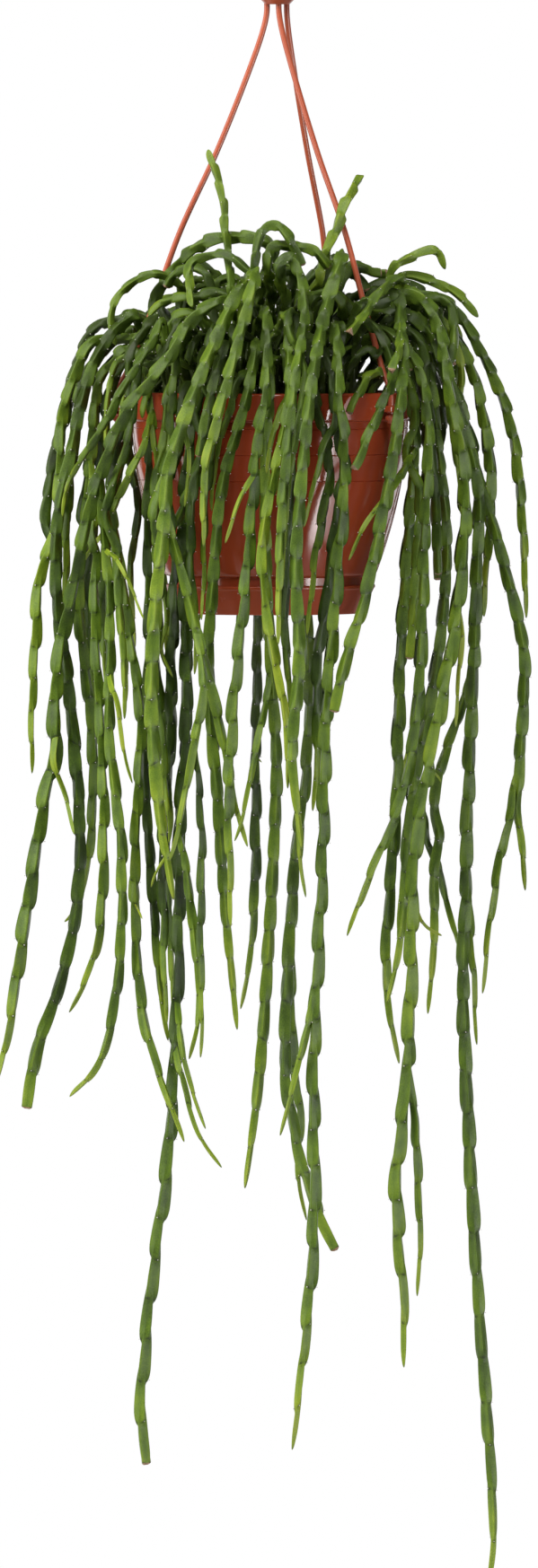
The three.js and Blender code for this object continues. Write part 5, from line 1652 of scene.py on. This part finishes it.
def backdrop_paper():
    """Pale paper that fades out towards its edge."""
    shader = Shader("backdrop", Roughness=0.9)
    here = shader.here()
    grain = shader.noise(here, 40.0)
    flat = shader.stretched(here, (1.0, 1.0, 0.0))
    away = shader.node("ShaderNodeVectorMath", {0: flat}, operation="LENGTH").outputs["Value"]
    shader.set(
        Base_Color=shader.ramp(grain, (0.0, 0.9), (1.0, 0.94)),
        Alpha=shader.ranged(away, FLOOR.solid_radius, FLOOR.radius, 1.0, 0.0),
    )
    return shader.material


# ---------------------------------------------------------------- studio, in metres
CAMERA = SimpleNamespace(
    lens=500.0, sensor=36.0, frame_height=0.9766, centre=Vector((-0.0053, 0, -0.5396)), height=-0.081,
)
FLOOR = SimpleNamespace(radius=1.3, solid_radius=0.35, height=-1.13, thick=0.02, sides=96)
STUDIO = SimpleNamespace(middle=Vector((0, 0, -0.45)), warm=(1.0, 0.985, 0.93), wall_light=0.11)


def aimed(thing, target):
    thing.rotation_euler = (target - thing.location).to_track_quat("-Z", "Y").to_euler()


def add_camera():
    data = bpy.data.cameras.new("camera")
    data.lens = CAMERA.lens
    data.sensor_width = CAMERA.sensor
    data.clip_end = 100
    camera = added("camera", data)
    distance = CAMERA.lens / CAMERA.sensor * CAMERA.frame_height
    camera.location = (CAMERA.centre.x, -distance, CAMERA.height)
    aimed(camera, CAMERA.centre)
    bpy.context.scene.camera = camera


def add_softbox(name, azimuth, elevation, distance, size, power, color=(1, 1, 1), sheen_only=False):
    """A softbox on a sphere round the plant: azimuth 0 is the camera's side, 90 the right."""
    data = bpy.data.lights.new(name, "AREA")
    data.shape = "RECTANGLE"
    data.size, data.size_y = size
    data.energy = power
    data.color = color
    lamp = added(name, data)
    lamp.visible_diffuse = not sheen_only
    turn = math.radians(azimuth)
    rise = math.radians(elevation)
    away = Vector((math.sin(turn) * math.cos(rise), -math.cos(turn) * math.cos(rise), math.sin(rise)))
    lamp.location = STUDIO.middle + away * distance
    aimed(lamp, STUDIO.middle)


def add_studio():
    add_softbox("left_softbox", -74, 12, 2.2, (1.1, 1.9), 37, STUDIO.warm)
    add_softbox("right_softbox", 56, -10, 2.4, (0.9, 1.6), 15)
    add_softbox("right_strip", 48, -13, 2.2, (0.5, 1.45), 26, sheen_only=True)
    add_softbox("front_top_softbox", -18, 52, 2.4, (1.7, 1.5), 56, STUDIO.warm)
    add_softbox("rear_left", -154, 4, 2.4, (1.1, 2.2), 10)
    add_softbox("rear_right", 154, 4, 2.4, (1.1, 2.2), 10)


def add_world():
    """White to look at, but dimmer as a light, as a white wall behind the plant is."""
    world = bpy.data.worlds.new("studio")
    bpy.context.scene.world = world
    world.use_nodes = True
    tree = world.node_tree
    tree.nodes.clear()
    path = tree.nodes.new("ShaderNodeLightPath")
    mixed = tree.nodes.new("ShaderNodeMixShader")
    output = tree.nodes.new("ShaderNodeOutputWorld")
    tree.links.new(path.outputs["Is Camera Ray"], mixed.inputs[0])
    for socket, strength in ((1, STUDIO.wall_light), (2, 1.0)):
        white = tree.nodes.new("ShaderNodeBackground")
        white.inputs["Color"].default_value = (1, 1, 1, 1)
        white.inputs["Strength"].default_value = strength
        tree.links.new(white.outputs[0], mixed.inputs[socket])
    tree.links.new(mixed.outputs[0], output.inputs["Surface"])


def add_floor(material):
    edge, low = 1000 * FLOOR.radius, -1000 * FLOOR.thick
    corners, faces = turned(np.array([(0, 0), (edge, 0), (edge, low), (0, low)]), FLOOR.sides)
    lift = np.array([HUB.offset, 0, 1000 * FLOOR.height + HOOK.hanging_point])
    solid_piece("studio_floor", [(corners + lift, faces)], material)


# ---------------------------------------------------------------- the whole
def finished(piece, slot, *nodes):
    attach(piece, "root")
    if nodes:
        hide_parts(*nodes)


def add_hardware():
    plastic = moulded("pot_plastic", (0.35, 0.052, 0.018), (0.42, 0.070, 0.026), 0.07)
    saucer_plastic = moulded("saucer_plastic", (0.36, 0.052, 0.016), (0.43, 0.068, 0.022), 0.18, 0.32)
    hanger_plastic = moulded("hanger_plastic", (0.44, 0.088, 0.040), (0.52, 0.115, 0.054), 0.26)
    finished(make_pot(plastic), "pot_plastic", "pot")
    finished(make_saucer(saucer_plastic), "saucer_plastic", "saucer")
    finished(make_peat(peat_crumb()), "peat", "soil")
    finished(make_hub(hanger_plastic), "hanger_plastic", "hook_and_hub")
    for name, azimuth in STRANDS.items():
        finished(make_strand(name, azimuth, hanger_plastic), "hanger_plastic", "strand_" + name)


def settled(stems, groups, seed):
    """The given stems, and the groups' own stems that have made room among them."""
    extras = lay_out_extras(stems, groups, seed)
    make_room(stems + extras, held=len(stems))
    relax(extras)
    return stems + extras


def all_stems():
    """The stems of the solids, and with them the scene's own."""
    solids = lay_out({**SPRAYS, **far_sprays(FAR_SIDE)})
    make_room(solids)
    far_extras = [members[0] for members in far_sprays(FAR_EXTRAS).values()]
    stems = settled(solids, {**EXTRAS, "far_side": far_extras}, SEED + 1)
    curtain = EXTRAS["curtain_front"] + EXTRAS["curtain_left"] + EXTRAS["curtain_right"]
    hidden = {"crown_behind": behind(EXTRAS["crown_tangle"]), "curtain_behind": behind(curtain)}
    stems = settled(stems, hidden, SEED + 2)
    note_forks(stems)
    return solids, stems[len(solids) :]


def gathered(group, stems, name, detail, materials, draw):
    tube = Tube()
    for stem in stems:
        if stem.spray == group:
            add_stem(tube, stem, detail, draw)
    return tube.piece(name, *materials)


def build():
    bpy.context.scene.view_settings.view_transform = "Standard"
    add_camera()
    add_studio()
    add_world()
    add_floor(backdrop_paper())
    add_hardware()
    draw = seeded_draw(SEED)
    fibre = speckled("root_fibre", 400.0, (0.09, 0.065, 0.04), (0.33, 0.26, 0.18), 0.8)
    finished(make_peat_fibres(fibre, draw), "peat")
    solids, extras = all_stems()
    wool = speckled("areole_wool", 2500.0, (0.6, 0.57, 0.46), (0.95, 0.94, 0.88), 0.9)
    materials = (stem_skin(), wool)
    for spray in dict.fromkeys(stem.spray for stem in solids):
        detail = PLAIN_LINKS if spray.startswith("far_") else FINE_LINKS
        piece = gathered(spray, solids, spray + "_stems", detail, materials, draw)
        finished(piece, "stem_skin", "stem_" + spray)
    for group in dict.fromkeys(stem.spray for stem in extras):
        piece = gathered(group, extras, group + "_more_stems", PLAIN_LINKS, materials, draw)
        finished(piece, "stem_skin")


build()
